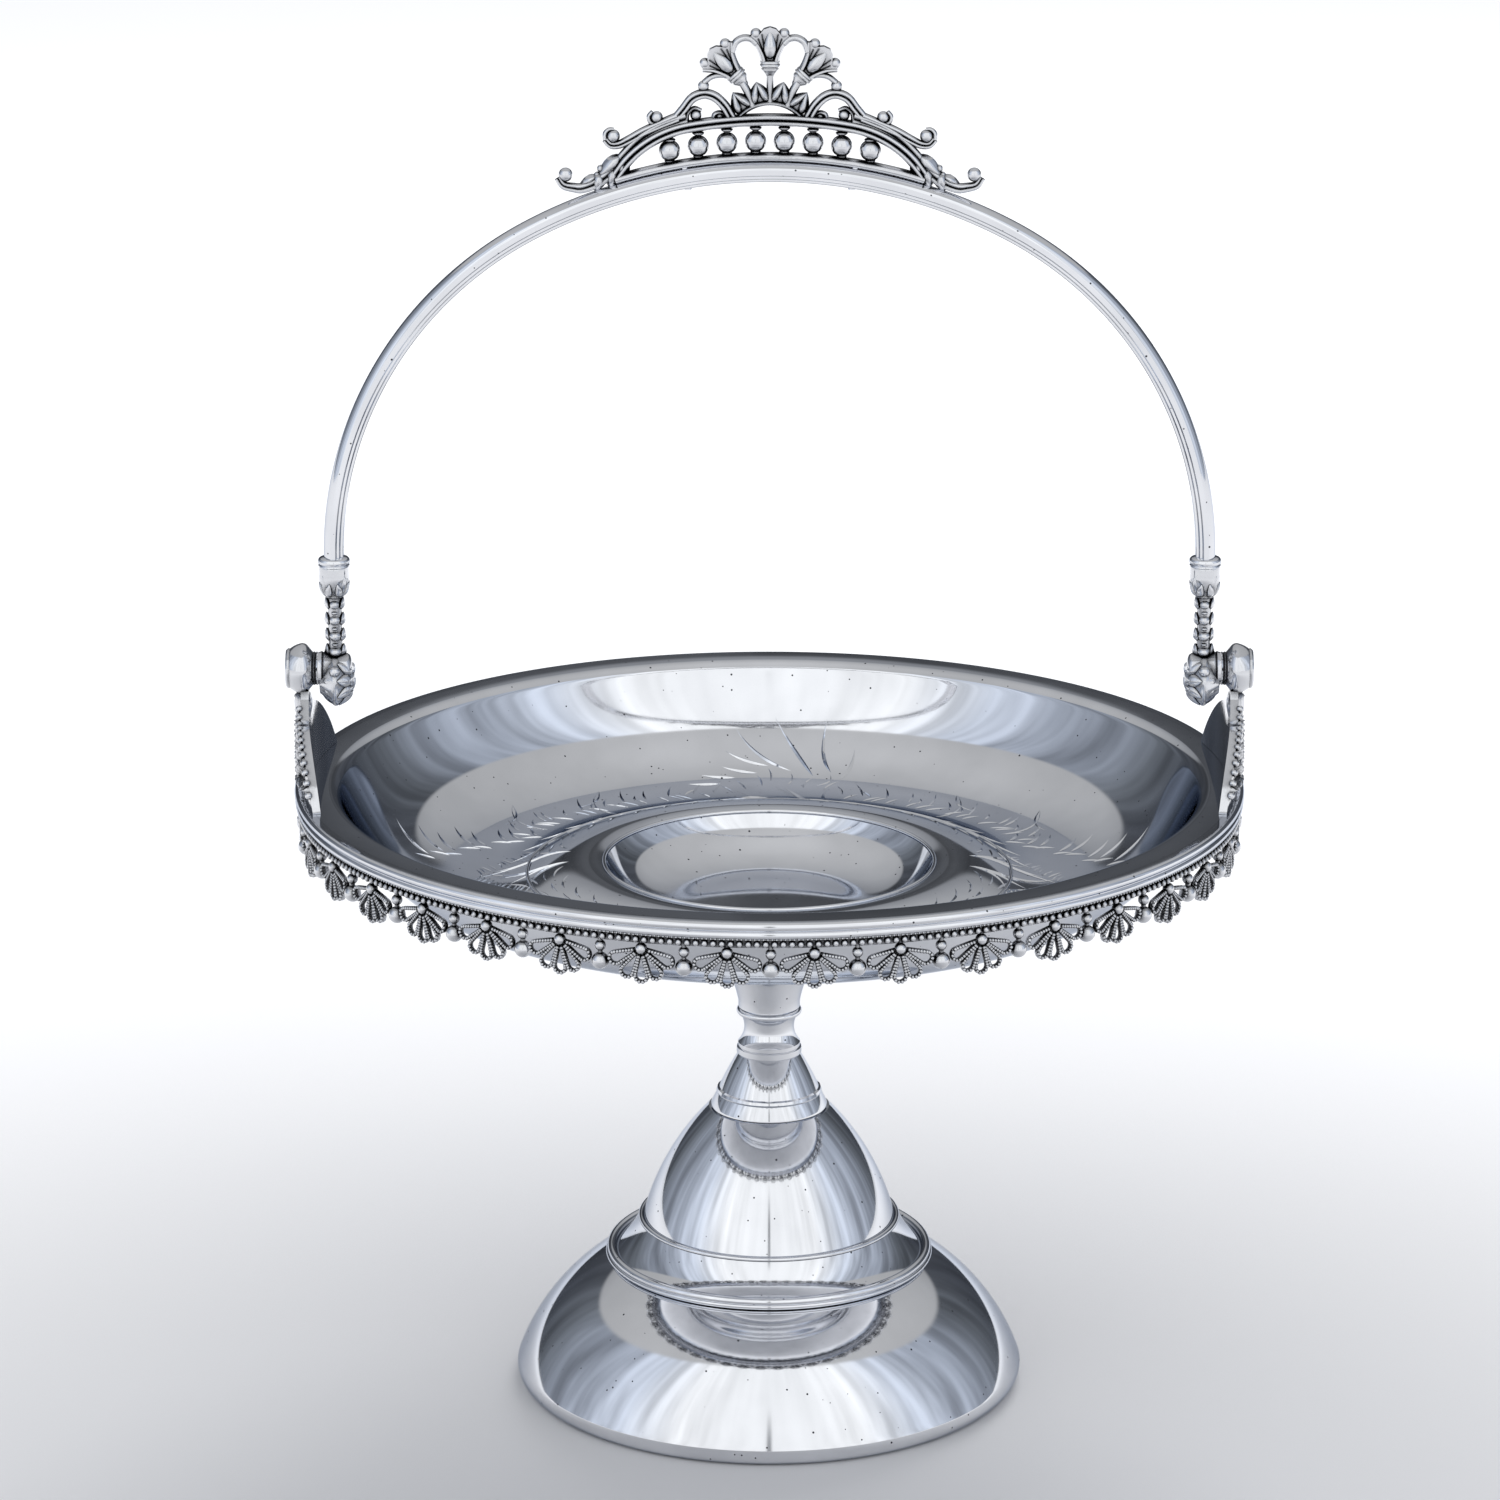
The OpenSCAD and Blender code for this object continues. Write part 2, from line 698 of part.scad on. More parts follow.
// One cast strip: it ends just after a ball drop and before the next shell
module border_strip(number) {
    end_angle = asin((ball_d + loop_gap) / 2 / shell_r);
    gap_angle = asin(joint_gap / shell_r);
    color("silver") rotate((number - 1) * strip_angle) {
        rotate(end_angle) rotate_extrude(angle = strip_angle - gap_angle) {
            translate([band_r - band_t, band_z]) square([band_t, band_h]);
            translate([band_r, band_z + band_h / 2]) circle(d = bead_wire_d);
        }
        for (i = [1 : shells_per_strip]) {
            rotate((i - 0.5) * pitch) shell();
            rotate(i * pitch) ball_drop();
        }
    }
}

// Ears and hinge

// Outline of the ear, seen from outside, with its origin on the rim
module ear_outline() {
    wing = [ear_w / 2, joint_gap];
    shoulder = [ear_shoulder_w / 2, ear_shoulder_h];
    neck = [ear_neck_w / 2, pivot_rise - boss_d / 2 + joint_gap];
    half = concat(
        [wing],
        arc_to(wing, shoulder, ear_wing_r),
        arc_to(shoulder, neck, -ear_hollow_r, 6),
        [[neck[0], pivot_rise]]
    );
    polygon(concat(half, [for (p = reversed(half)) [-p[0], p[1]]]));
}

// Leaf on the outer face of the ear: a middle rib with two lobes on each side, each lower than the last
module leaf(inner_r) {
    foot = leaf_lobe_w / 2;
    on_rim_wall(inner_r, leaf_relief) translate([0, foot]) rotate(90) leaf_shape(leaf_rib, leaf_lobe_w);
    for (side = [-1, 1]) {
        on_rim_wall(inner_r, leaf_relief - leaf_relief_step)
            translate([side * foot / 2, foot]) rotate(90 - side * inner_lobe_angle)
                leaf_shape(leaf_inner_lobe, leaf_lobe_w);
        on_rim_wall(inner_r, leaf_relief - 2 * leaf_relief_step)
            translate([side * foot, foot]) rotate(90 - side * outer_lobe_angle)
                leaf_shape(leaf_outer_lobe, leaf_lobe_w);
    }
}

// A wall that follows the rim, cut to a flat outline on the +x side
module on_rim_wall(inner_r, t) {
    intersection() {
        translate([0, 0, rim_z]) rotate(-45) rotate_extrude(angle = 90)
            translate([inner_r, 0]) square([t, pivot_rise]);
        translate([0, 0, rim_z]) rotate([90, 0, 90]) linear_extrude(rim_d) children();
    }
}

module ear_right() {
    ear_in_r = rim_d / 2 - ear_inset - ear_t;
    color("gainsboro") difference() {
        union() {
            on_rim_wall(ear_in_r, ear_t) ear_outline();
            leaf(ear_in_r + ear_t - leaf_relief_step);
            along_hinge(boss_in) rotate_extrude() polygon([
                [0, 0], [boss_end_d / 2, 0], [boss_d / 2, boss_w / 2], [boss_end_d / 2, boss_w],
                [cap_d / 2, boss_w], [cap_d / 2, boss_w + cap_t], [0, boss_w + cap_t]
            ]);
        }
        along_hinge(boss_in - 1) cylinder(h = boss_w + cap_t + 2, d = pin_d);
    }
}

module ear_left() {
    on_other_side() ear_right();
}

module hinge_pin_right() {
    head_x = leg_x - knuckle_w / 2 - turn_gap - pin_head_t;
    color("darkgray") {
        along_hinge(head_x) cylinder(h = pin_head_t, d = pin_head_d);
        along_hinge(head_x) cylinder(h = boss_out + cap_t - head_x, d = pin_d);
    }
}

module hinge_pin_left() {
    on_other_side() hinge_pin_right();
}

// Handle

// A casting that hangs from the bow: a tulip cup, a beaded stem and the knuckle that turns on the pin
module hinge_drop_right() {
    stem_foot = pivot_z + knuckle_d / 2;
    bead_room = (cup_foot - stem_foot) / drop_bead_count;
    cup_start = [cup_foot_d / 2, cup_foot];
    cup_end = [cup_d / 2, cup_top];
    color("gainsboro") difference() {
        union() {
            along_hinge(leg_x - knuckle_w / 2) rotate_extrude() polygon([
                [0, 0], [boss_end_d / 2, 0], [knuckle_d / 2, knuckle_w / 2],
                [boss_end_d / 2, knuckle_w], [0, knuckle_w]
            ]);
            translate([leg_x, 0, 0]) {
                translate([0, 0, pivot_z]) cylinder(h = cup_foot - pivot_z + 1, d = drop_stem_d);
                for (i = [0 : drop_bead_count - 1])
                    translate([0, 0, stem_foot + (i + 0.5) * bead_room])
                        sphere(d = drop_bead_d - i * drop_bead_step);
                rotate_extrude() polygon(concat(
                    [[0, cup_foot], cup_start], arc_to(cup_start, cup_end, cup_h, 8), [[0, cup_top]]
                ));
            }
        }
        along_hinge(leg_x - knuckle_w) cylinder(h = 2 * knuckle_w, r = pin_d / 2 + pin_gap);
        translate([leg_x, 0, tenon_z - joint_gap]) cylinder(h = tenon_h, r = tenon_hole_r);
    }
}

module hinge_drop_left() {
    on_other_side() hinge_drop_right();
}

module collar_right() {
    color("silver") translate([leg_x, 0, collar_z]) difference() {
        rotate_extrude() {
            square([collar_d / 2 - collar_h / 4, collar_h]);
            translate([collar_d / 2 - collar_h / 4, collar_h / 2]) circle(d = collar_h / 2);
        }
        translate([0, 0, -1]) cylinder(h = collar_h + 2, r = tenon_hole_r);
    }
}

module collar_left() {
    on_other_side() collar_right();
}

// Section of the bow: a rounded back with two steps on the inner side, its outer face towards +x
module bow_section() {
    back_x = bow_t / 2 - bow_back_r;
    shoulder_x = back_x + sqrt(pow(bow_back_r, 2) - pow(bow_w / 2, 2));
    step_x = -bow_t / 2 + 2 * bow_step_h;
    intersection() {
        translate([back_x, 0]) circle(bow_back_r);
        translate([shoulder_x, -bow_w / 2]) square([bow_t, bow_w]);
    }
    translate([step_x, -bow_w / 2]) square([shoulder_x - step_x, bow_w]);
    for (i = [1, 2])
        translate([step_x - i * bow_step_h, -bow_w / 2 + i * bow_step_w / 2])
            square([i * bow_step_h, bow_w - i * bow_step_w]);
}

module peg(length_out, d) {
    translate([0, 0, spring_z - crown_drop]) rotate([0, peg_angle, 0])
        translate([0, 0, crown_r - bow_t / 2 - length_out])
            cylinder(h = bow_t + length_out + joint_gap + peg_hold, d = d);
}

// Right half of the bow: the haunch runs into the crown, which is cut at the middle
module half_bow() {
    intersection() {
        translate([haunch_shift, 0, spring_z]) rotate([90, 0, 0]) rotate(90 - crown_half_angle) {
            rotate_extrude(angle = crown_half_angle - 90) translate([haunch_r, 0]) bow_section();
            translate([haunch_r - crown_r, 0]) rotate_extrude(angle = crown_half_angle + 1)
                translate([crown_r, 0]) bow_section();
        }
        translate([0, -bow_w, 0]) cube([rim_d, 2 * bow_w, 2 * crown_z]);
    }
    translate([leg_x, 0, tenon_z]) cylinder(h = tenon_h + bow_t / 2, d = tenon_d);
}

module handle_bow() {
    color("silver") difference() {
        both_sides() half_bow();
        both_sides() peg(1, peg_d + 2 * joint_gap);
    }
}

module crest_pegs() {
    color("darkgray") both_sides() peg(peg_end, peg_d);
}

// Crest

// Height of the arched rail and of the lower rail's top above the crown, at a distance from the middle
function arch_h(x) = x < arch_crown_r * sin(arch_turn)
    ? arch_c[1] + sqrt(pow(arch_crown_r, 2) - x * x)
    : arch_haunch_c[1] + sqrt(pow(arch_haunch_r, 2) - pow(x - arch_haunch_c[0], 2));
function rail_h(x) = sqrt(pow(rail_in_r + rail_t, 2) - x * x) - rail_in_r;

// A bar bent from p to q: a positive radius bends to the left
module curve_bar(p, q, r, w) {
    half = norm(q - p) / 2;
    c = (p + q) / 2 + left_of(q - p) * sqrt(r * r - half * half) * sign(r);
    start = atan2(p[1] - c[1], p[0] - c[0]);
    end = atan2(q[1] - c[1], q[0] - c[0]);
    translate(c) arc_bar(abs(r), w, start, r > 0 ? start + turn(end - start) : start - turn(start - end));
}

module crest_rails() {
    rail_angle = asin(arch_half / rail_mid_r);
    in_handle_plane(rail_w) translate([0, joint_gap - rail_in_r])
        arc_bar(rail_mid_r, rail_t, 90 - rail_angle, 90 + rail_angle);
    in_handle_plane(arch_w) {
        translate(arch_c) arc_bar(arch_crown_r, arch_t, 90 - arch_turn, 90 + arch_turn);
        both_sides() translate(arch_haunch_c) arc_bar(arch_haunch_r, arch_t, 90 - arch_end, 90 - arch_turn);
    }
}

// A tulip on a collar, opening along y: the depths differ, so that each petal stands apart
module tulip() {
    belly_r = 2 * tulip_waist_r;
    linear_extrude(collar_w, center = true) bar([-tulip_bead_d, 0], [tulip_bead_d, 0], scroll_t);
    linear_extrude(petal_w, center = true) translate([0, tulip_waist_r]) rotate(90)
        drop_shape(tulip_belly_h - tulip_waist_r, belly_r, tulip_waist_r);
    linear_extrude(petal_w, center = true) translate([0, tulip_h]) rotate(-90)
        drop_shape(tulip_h - tulip_belly_h, belly_r, tulip_waist_r / 2);
    both_sides() linear_extrude(scroll_w, center = true)
        curve_bar([tulip_waist_r, 0], tulip_bead, tulip_side_r, scroll_t);
}

// Flowers: a tulip on a stem in the middle and one leaning to each side, over a half-moon ring with four leaves
module crest_flowers() {
    in_handle_plane(scroll_w) translate(ring_c) arc_bar(ring_r, scroll_t, -ring_dip, 180 + ring_dip);
    for (a = ring_leaf_angles)
        in_handle_plane(petal_w) translate(ring_c + leaned([0, ring_r + ring_leaf_h], a)) rotate(-90 - a)
            drop_shape(ring_leaf_h, ring_leaf_r, ring_leaf_r / 4);
    in_handle_plane(stem_w) bar(ring_c + [0, ring_r], middle_tulip, scroll_t);
    stand_up() translate(middle_tulip) tulip();
    both_sides() {
        in_handle_plane(stem_w) bar(ring_c + leaned([0, ring_r], side_stem_angle), side_tulip, scroll_t);
        stand_up() translate(side_tulip) rotate(-side_tulip_lean) tulip();
    }
}

// Scrolls on the right of the crest: a hoop over a bead, an upper scroll and the tail with its leaves
module crest_scrolls() {
    in_handle_plane(scroll_w) translate(hoop_c) arc_bar(hoop_r, scroll_t, -hoop_dip, 180 + hoop_dip);
    in_handle_plane(stem_w) bar([hoop_x, arch_h(hoop_x)], hoop_c, scroll_t);
    in_handle_plane(stem_w) bar([bud_x, arch_h(bud_x)], bud, scroll_t);
    in_handle_plane(scroll_w) curve_bar(bud - [0, bud_d / 2], curl_low, upper_scroll_r, scroll_t);
    in_handle_plane(petal_w) curve_bar(curl_low, curl_end, curl_bead_d, scroll_t);
    in_handle_plane(scroll_w) curve_bar(tail_root, tail_low, tail_r, scroll_t);
    in_handle_plane(petal_w) curve_bar(tail_low, tail_end, tail_curl_r, scroll_t);
    for (i = [0 : len(tail_leaf_angles) - 1])
        in_handle_plane(petal_w - i * leaf_relief_step) translate(tail_root) rotate(tail_leaf_angles[i])
            drop_shape(tail_leaf_h, tail_leaf_r, scroll_t / 2);
}

module crest_bead(p, d) {
    translate([p[0], 0, crown_z + p[1]]) sphere(d = d);
}

module crest() {
    color("gainsboro") difference() {
        union() {
            crest_rails();
            crest_flowers();
            both_sides() crest_scrolls();
            for (i = [-3.5 : 3.5])
                let (x = i * crest_ball_step, low = rail_h(abs(x)), high = arch_h(abs(x))) {
                    in_handle_plane(stem_w) bar([x, low - rail_t / 2], [x, high], scroll_t);
                    crest_bead([x, (low + high - arch_t / 2) / 2], crest_ball_d);
                }
            both_sides() {
                crest_bead(hoop_c, hoop_bead_d);
                crest_bead(hoop_top_bead, hoop_bead_d);
                crest_bead(curl_bead, curl_bead_d);
                crest_bead(bud, bud_d);
                crest_bead(tail_bead, tail_bead_d);
                for (side = [-1, 1]) {
                    from_collar = [side * tulip_bead[0], tulip_bead[1]];
                    crest_bead(side_tulip + leaned(from_collar, side_tulip_lean), tulip_bead_d);
                }
                crest_bead(middle_tulip + tulip_bead, tulip_bead_d);
            }
        }
        both_sides() peg(0, peg_d + 2 * joint_gap);
    }
}

foot_bell();
dome();
stem_cone();
stem_neck();
stem_socket();
tie_bolt();
tie_washer();
tie_nut();
dish();
rim_moulding();
border_strip(1);  // border_strip_1
border_strip(2);  // border_strip_2
border_strip(3);  // border_strip_3
border_strip(4);  // border_strip_4
border_strip(5);  // border_strip_5
border_strip(6);  // border_strip_6
ear_right();
ear_left();
hinge_pin_right();
hinge_pin_left();
hinge_drop_right();
hinge_drop_left();
collar_right();
collar_left();
handle_bow();
crest();
crest_pegs();
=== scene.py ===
import math

import bmesh
import bpy
from mathutils import Matrix, Vector
from mathutils.geometry import interpolate_bezier


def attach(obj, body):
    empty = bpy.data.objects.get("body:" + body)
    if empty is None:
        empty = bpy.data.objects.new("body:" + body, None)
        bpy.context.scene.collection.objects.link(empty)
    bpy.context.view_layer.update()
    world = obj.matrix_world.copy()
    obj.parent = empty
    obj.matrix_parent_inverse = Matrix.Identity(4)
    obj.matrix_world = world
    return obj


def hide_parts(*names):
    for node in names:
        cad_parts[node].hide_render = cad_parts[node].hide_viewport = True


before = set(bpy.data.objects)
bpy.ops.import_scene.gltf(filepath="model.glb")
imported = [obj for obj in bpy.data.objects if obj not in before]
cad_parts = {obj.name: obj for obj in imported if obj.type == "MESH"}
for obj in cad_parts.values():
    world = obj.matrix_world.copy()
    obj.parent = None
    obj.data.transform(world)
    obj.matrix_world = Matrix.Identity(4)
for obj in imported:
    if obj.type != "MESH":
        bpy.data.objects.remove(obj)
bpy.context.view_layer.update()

scene = bpy.context.scene
MM = 0.001

# Sizes in millimetres, as the part's source works them out
SHEET = 1.2
JOINT_GAP = 0.05
FOOT_TOP = 33.331
DOME_FOOT = 43.581
DOME_TOP = 73.581
CONE_FOOT = 73.631
NECK_FOOT = 87.981
NECK_TOP = 100.281
SOCKET_FOOT = 100.331
SOCKET_TOP = 127.331
WELL_BOTTOM = 128.581
WELL_TOP = 139.581
WELL_R = 42
HUMP_R = 47
FLOOR_Z = 134.581
FLOOR_R = 73
RIM_Z = 161.381
RIM_R = 120
BOWL_R = 109
SHEET_EDGE_R = 117.2
MOULDING_Z = 157.281
LEDGE_R = 113.7
UPPER_REED_R = 1.1
LOWER_REED_R = 0.95
BOLT_HOLE_R = 2.9
BAND_R = 118.6
BAND_Z = 154.881
BAND_H = 2.35
SHELL_R = 117.85
HUB_Z = 153.481
SMALL_BALL_Z = 153.231
BALL_Z = 149.431
STRIP_COUNT = 6
SHELLS_PER_STRIP = 6
SHELL_PITCH = 2 * math.pi / (STRIP_COUNT * SHELLS_PER_STRIP)
STRIP_START = math.asin(1.9 / SHELL_R)
EAR_R = 118.4
EAR_IN_R = 116
EAR_W = 66
PIN_R = 1.5
PIVOT_Z = 190.081
LEG_X = 109.2
SPRING_Z = 219.281
HAUNCH_R = 94.2
CROWN_R = 126.455
CROWN_DROP = 28.555
CROWN_HALF_ANGLE = math.radians(27.713)
CROWN_Z = 319.681

# Sizes that only this script has
RING_LINE_R = 61.5
EAR_ARC_R = 118
KNUCKLE_DROP = 2.8
KNUCKLE_LEAVES = 9
SPIN_STEPS = 192

# Light levels: the tent, the lamp, and what the table shows of its own
TENT_LEVEL = 1.08
LAMP_WATTS = 14
TABLE_GLOW = 0.46


# Outlines

def spread(start, end, count):
    """Values from start to end in equal steps."""
    return [start + (end - start) * i / count for i in range(count + 1)]


def polar(distance, degrees):
    """A place given by its distance and its direction."""
    angle = math.radians(degrees)
    return distance * Vector((math.cos(angle), math.sin(angle)))


def left_of(direction):
    """The direction to the left of another one."""
    return Vector((-direction.y, direction.x)).normalized()


def arc(start, end, radius, count):
    """Points after start on an arc to end: a positive radius bends left and a negative one right."""
    p, q = Vector(start), Vector(end)
    half = (q - p).length / 2
    centre = (p + q) / 2 + left_of(q - p) * math.copysign(math.sqrt(radius ** 2 - half ** 2), radius)
    first = math.atan2(*(p - centre).yx)
    sweep_angle = math.atan2(*(q - centre).yx) - first
    if radius > 0 and sweep_angle < 0:
        sweep_angle += 2 * math.pi
    if radius < 0 and sweep_angle > 0:
        sweep_angle -= 2 * math.pi
    angles = spread(first, first + sweep_angle, count)[1:]
    return [centre + abs(radius) * Vector((math.cos(a), math.sin(a))) for a in angles]


def round_arc(centre, radius, first, last, count):
    """Points on a circle between two angles in degrees."""
    return [Vector(centre) + polar(radius, a) for a in spread(first, last, count)]


def flowing(points, count):
    """A smooth line through all the points given."""
    knots = [Vector(p) for p in points]
    knots = [2 * knots[0] - knots[1]] + knots + [2 * knots[-1] - knots[-2]]
    line = [knots[1]]
    for a, b, c, d in zip(knots, knots[1:], knots[2:], knots[3:]):
        for t in spread(0, 1, count)[1:]:
            bend = (2 * a - 5 * b + 4 * c - d) * t ** 2
            twist = (3 * b - a - 3 * c + d) * t ** 3
            line.append((2 * b + (c - a) * t + bend + twist) / 2)
    return line


def eased(start, leaving, end, arriving, count):
    """Points on one curve from start to end, with the ways in which it leaves and arrives."""
    return interpolate_bezier(start, start + Vector(leaving), end - Vector(arriving), end, count)


def sheet_outline(path, thickness):
    """The closed outline of a sheet that follows a path, with its thickness to the left."""
    path = [Vector(p) for p in path]
    other = []
    for i, point in enumerate(path):
        before = left_of(point - path[i - 1]) if i else left_of(path[1] - point)
        after = left_of(path[i + 1] - point) if i < len(path) - 1 else before
        middle = (before + after).normalized()
        other.append(point + middle * thickness / middle.dot(before))
    return path + other[::-1]


# Shapes

def lathe(bm, outline, steps=SPIN_STEPS, place=None):
    """Turns an outline of (radius, height) points round the upright axis."""
    start = len(bm.verts)
    ring = [bm.verts.new((r, 0, z)) for r, z in outline]
    edges = [bm.edges.new(pair) for pair in zip(ring, ring[1:])]
    if outline[0][0] > 0:
        edges.append(bm.edges.new((ring[-1], ring[0])))
    bmesh.ops.spin(
        bm, geom=ring + edges, cent=(0, 0, 0), axis=(0, 0, 1), angle=2 * math.pi, steps=steps, use_merge=True
    )
    if place:
        bm.verts.ensure_lookup_table()
        bmesh.ops.transform(bm, matrix=place, verts=bm.verts[start:])


def torus(bm, radius, height, thickness):
    """A round wire laid in a ring."""
    lathe(bm, [(p.x, p.y) for p in round_arc((radius, height), thickness / 2, 0, 345, 23)])


def sweep(path, section, tip=1):
    """A bar of one section, drawn along a path of (x, z) points and narrowed towards its tip."""
    bm = bmesh.new()
    places = []
    for i, point in enumerate(path):
        along = (path[min(i + 1, len(path) - 1)] - path[max(i - 1, 0)]).normalized()
        size = 1 + (tip - 1) * i / (len(path) - 1)
        places.append(Matrix((
            (-along.y * size, 0, along.x, point.x),
            (0, size, 0, 0),
            (along.x * size, 0, along.y, point.y),
            (0, 0, 0, 1),
        )))
    ring = [bm.verts.new(places[0] @ Vector((a, b, 0))) for a, b in section]
    edges = [bm.edges.new((ring[i - 1], ring[i])) for i in range(len(ring))]
    bm.faces.new(ring)
    for last, now in zip(places, places[1:]):
        made = bmesh.ops.extrude_edge_only(bm, edges=edges)["geom"]
        ring = [g for g in made if isinstance(g, bmesh.types.BMVert)]
        ends = set(ring)
        edges = [g for g in made if isinstance(g, bmesh.types.BMEdge) and ends.issuperset(g.verts)]
        bmesh.ops.transform(bm, matrix=now @ last.inverted(), verts=ring)
    bmesh.ops.contextual_create(bm, geom=edges)
    return bm


def round_section(width, depth, sides):
    """A round or oval section with a number of sides."""
    return [(p.x * width, p.y * depth) for p in round_arc((0, 0), 0.5, 0, 360 - 360 / sides, sides - 1)]


def ridged_section(width, depth):
    """Two ridges side by side with a groove between them, on the front and on the back."""
    across = spread(-0.5, 0.5, 12)
    front = [(a * width, -depth / 2 * (0.62 + 0.38 * abs(math.sin(2 * math.pi * a)) ** 0.7)) for a in across]
    return front + [(-a, -b) for a, b in front]


def join(target, source):
    """Adds one shape to another."""
    mesh = bpy.data.meshes.new("joined")
    source.to_mesh(mesh)
    source.free()
    target.from_mesh(mesh)
    bpy.data.meshes.remove(mesh)


def add_turned(bm, outline, steps, place):
    """Adds a turned shape to a piece."""
    part = bmesh.new()
    lathe(part, outline, steps, place)
    join(bm, part)


def stamp(target, mesh, place):
    """Adds a copy of a mesh in its place."""
    mesh.transform(place)
    target.from_mesh(mesh)
    mesh.transform(place.inverted())


def kept_mesh(name, bm):
    """Turns a shape into a mesh."""
    mesh = bpy.data.meshes.new(name)
    bm.to_mesh(mesh)
    bm.free()
    return mesh


def ball_mesh(name, around, rows):
    bm = bmesh.new()
    bmesh.ops.create_uvsphere(bm, u_segments=around, v_segments=rows, radius=1)
    return kept_mesh(name, bm)


def lobe_mesh():
    """A leaf's lobe along x, one unit long: full near its root, with a pointed tip and a ridge."""
    bm = bmesh.new()
    bmesh.ops.create_uvsphere(bm, u_segments=12, v_segments=10, radius=1)
    bmesh.ops.rotate(bm, matrix=Matrix.Rotation(math.pi / 2, 3, "Y"), verts=bm.verts)
    for v in bm.verts:
        taper = (1 - min(1, abs(v.co.x)) ** 2) ** 0.25 * (1.05 - 0.35 * v.co.x)
        v.co.z *= taper * (1.15 - 0.5 * abs(v.co.y))
        v.co.y *= taper
    bmesh.ops.translate(bm, vec=(1, 0, 0), verts=bm.verts)
    bmesh.ops.scale(bm, vec=(0.5, 0.5, 0.5), verts=bm.verts)
    return kept_mesh("lobe", bm)


BALL = ball_mesh("ball", 28, 18)
BEAD = ball_mesh("bead", 8, 6)
LOBE = lobe_mesh()


def place_at(at, size, turn=None):
    """Where a shape goes: its size along its own axes, its turn, then its place."""
    return Matrix.Translation(at) @ (turn or Matrix.Identity(4)) @ Matrix.Diagonal((*size, 1))


def ball(bm, at, radius, mesh=BALL):
    stamp(bm, mesh, place_at(at, (radius, radius, radius)))


def tilted(degrees):
    """A turn in the handle's plane, from x towards z."""
    return Matrix.Rotation(-math.radians(degrees), 4, "Y")


def plate(outline, depth):
    """A flat plate in the handle's plane, with its outline given as (x, z) points."""
    bm = bmesh.new()
    face = bm.faces.new([bm.verts.new((x, -depth / 2, z)) for x, z in outline])
    made = bmesh.ops.extrude_face_region(bm, geom=[face])["geom"]
    bmesh.ops.translate(bm, vec=(0, depth, 0), verts=[g for g in made if isinstance(g, bmesh.types.BMVert)])
    return bm


def flat_lobe(bm, at, degrees, length, width, depth):
    """A lobe in the handle's plane that starts at (x, z) and points in a direction given in degrees."""
    stamp(bm, LOBE, place_at((at[0], 0, at[1]), (length, depth, width), tilted(degrees)))


def wire(bm, points, width, depth, tip=1, ridged=False, sides=12):
    """Adds a wire or a ridged bar along (x, z) points."""
    section = ridged_section(width, depth) if ridged else round_section(width, depth, sides)
    join(bm, sweep(points, section, tip))


def mirrored(bm):
    """Adds the mirror image of all of a shape on the other side of the middle."""
    twin = bm.copy()
    bmesh.ops.scale(twin, vec=(-1, 1, 1), verts=twin.verts)
    bmesh.ops.reverse_faces(twin, faces=twin.faces)
    join(bm, twin)


def keep(bm, name, body, slot, stands_for, sharp=38, other_side=False):
    """Finishes a piece: seams merged, smooth, in metres, on its body and in place of its CAD nodes."""
    if other_side:
        bmesh.ops.scale(bm, vec=(-1, 1, 1), verts=bm.verts)
    bmesh.ops.remove_doubles(bm, verts=bm.verts, dist=0.002)
    bmesh.ops.recalc_face_normals(bm, faces=bm.faces)
    bmesh.ops.scale(bm, vec=(MM, MM, MM), verts=bm.verts)
    mesh = kept_mesh(name, bm)
    mesh.materials.append(METALS[slot])
    mesh.shade_smooth()
    mesh.set_sharp_from_angle(angle=math.radians(sharp))
    piece = bpy.data.objects.new(name, mesh)
    scene.collection.objects.link(piece)
    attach(piece, body)
    if stands_for:
        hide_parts(*stands_for)


# Materials

def linear(hex_colour):
    """The linear colour of an sRGB hex value."""
    parts = [int(hex_colour[i:i + 2], 16) / 255 for i in (1, 3, 5)]
    return [c / 12.92 if c <= 0.04045 else ((c + 0.055) / 1.055) ** 2.4 for c in parts] + [1]


def add_node(tree, kind, links=None, values=None, **settings):
    """Adds a node: links and values go to its inputs, and settings are its own properties."""
    made = tree.nodes.new("ShaderNode" + kind)
    for name, value in settings.items():
        setattr(made, name, value)
    for key, value in (values or {}).items():
        made.inputs[key].default_value = value
    for key, source in (links or {}).items():
        tree.links.new(source, made.inputs[key])
    return made


def set_stops(ramp_node, stops):
    """Gives a colour ramp its stops, as pairs of a position and a colour."""
    ramp = ramp_node.color_ramp.elements
    for position, _ in stops[1:-1]:
        ramp.new(position)
    for stop, (position, colour) in zip(ramp, stops):
        stop.position = position
        stop.color = linear(colour)


def per_metre(size_mm):
    """A texture's scale at which its cells have a size in millimetres."""
    return 1 / (size_mm * MM)


def metal(name):
    """A new metal: the material, its nodes, its shader and the place on the piece."""
    material = bpy.data.materials.new(name)
    material.use_nodes = True
    tree = material.node_tree
    shader = tree.nodes["Principled BSDF"]
    shader.inputs["Metallic"].default_value = 1
    return material, tree, shader, add_node(tree, "TexCoord").outputs["Object"]


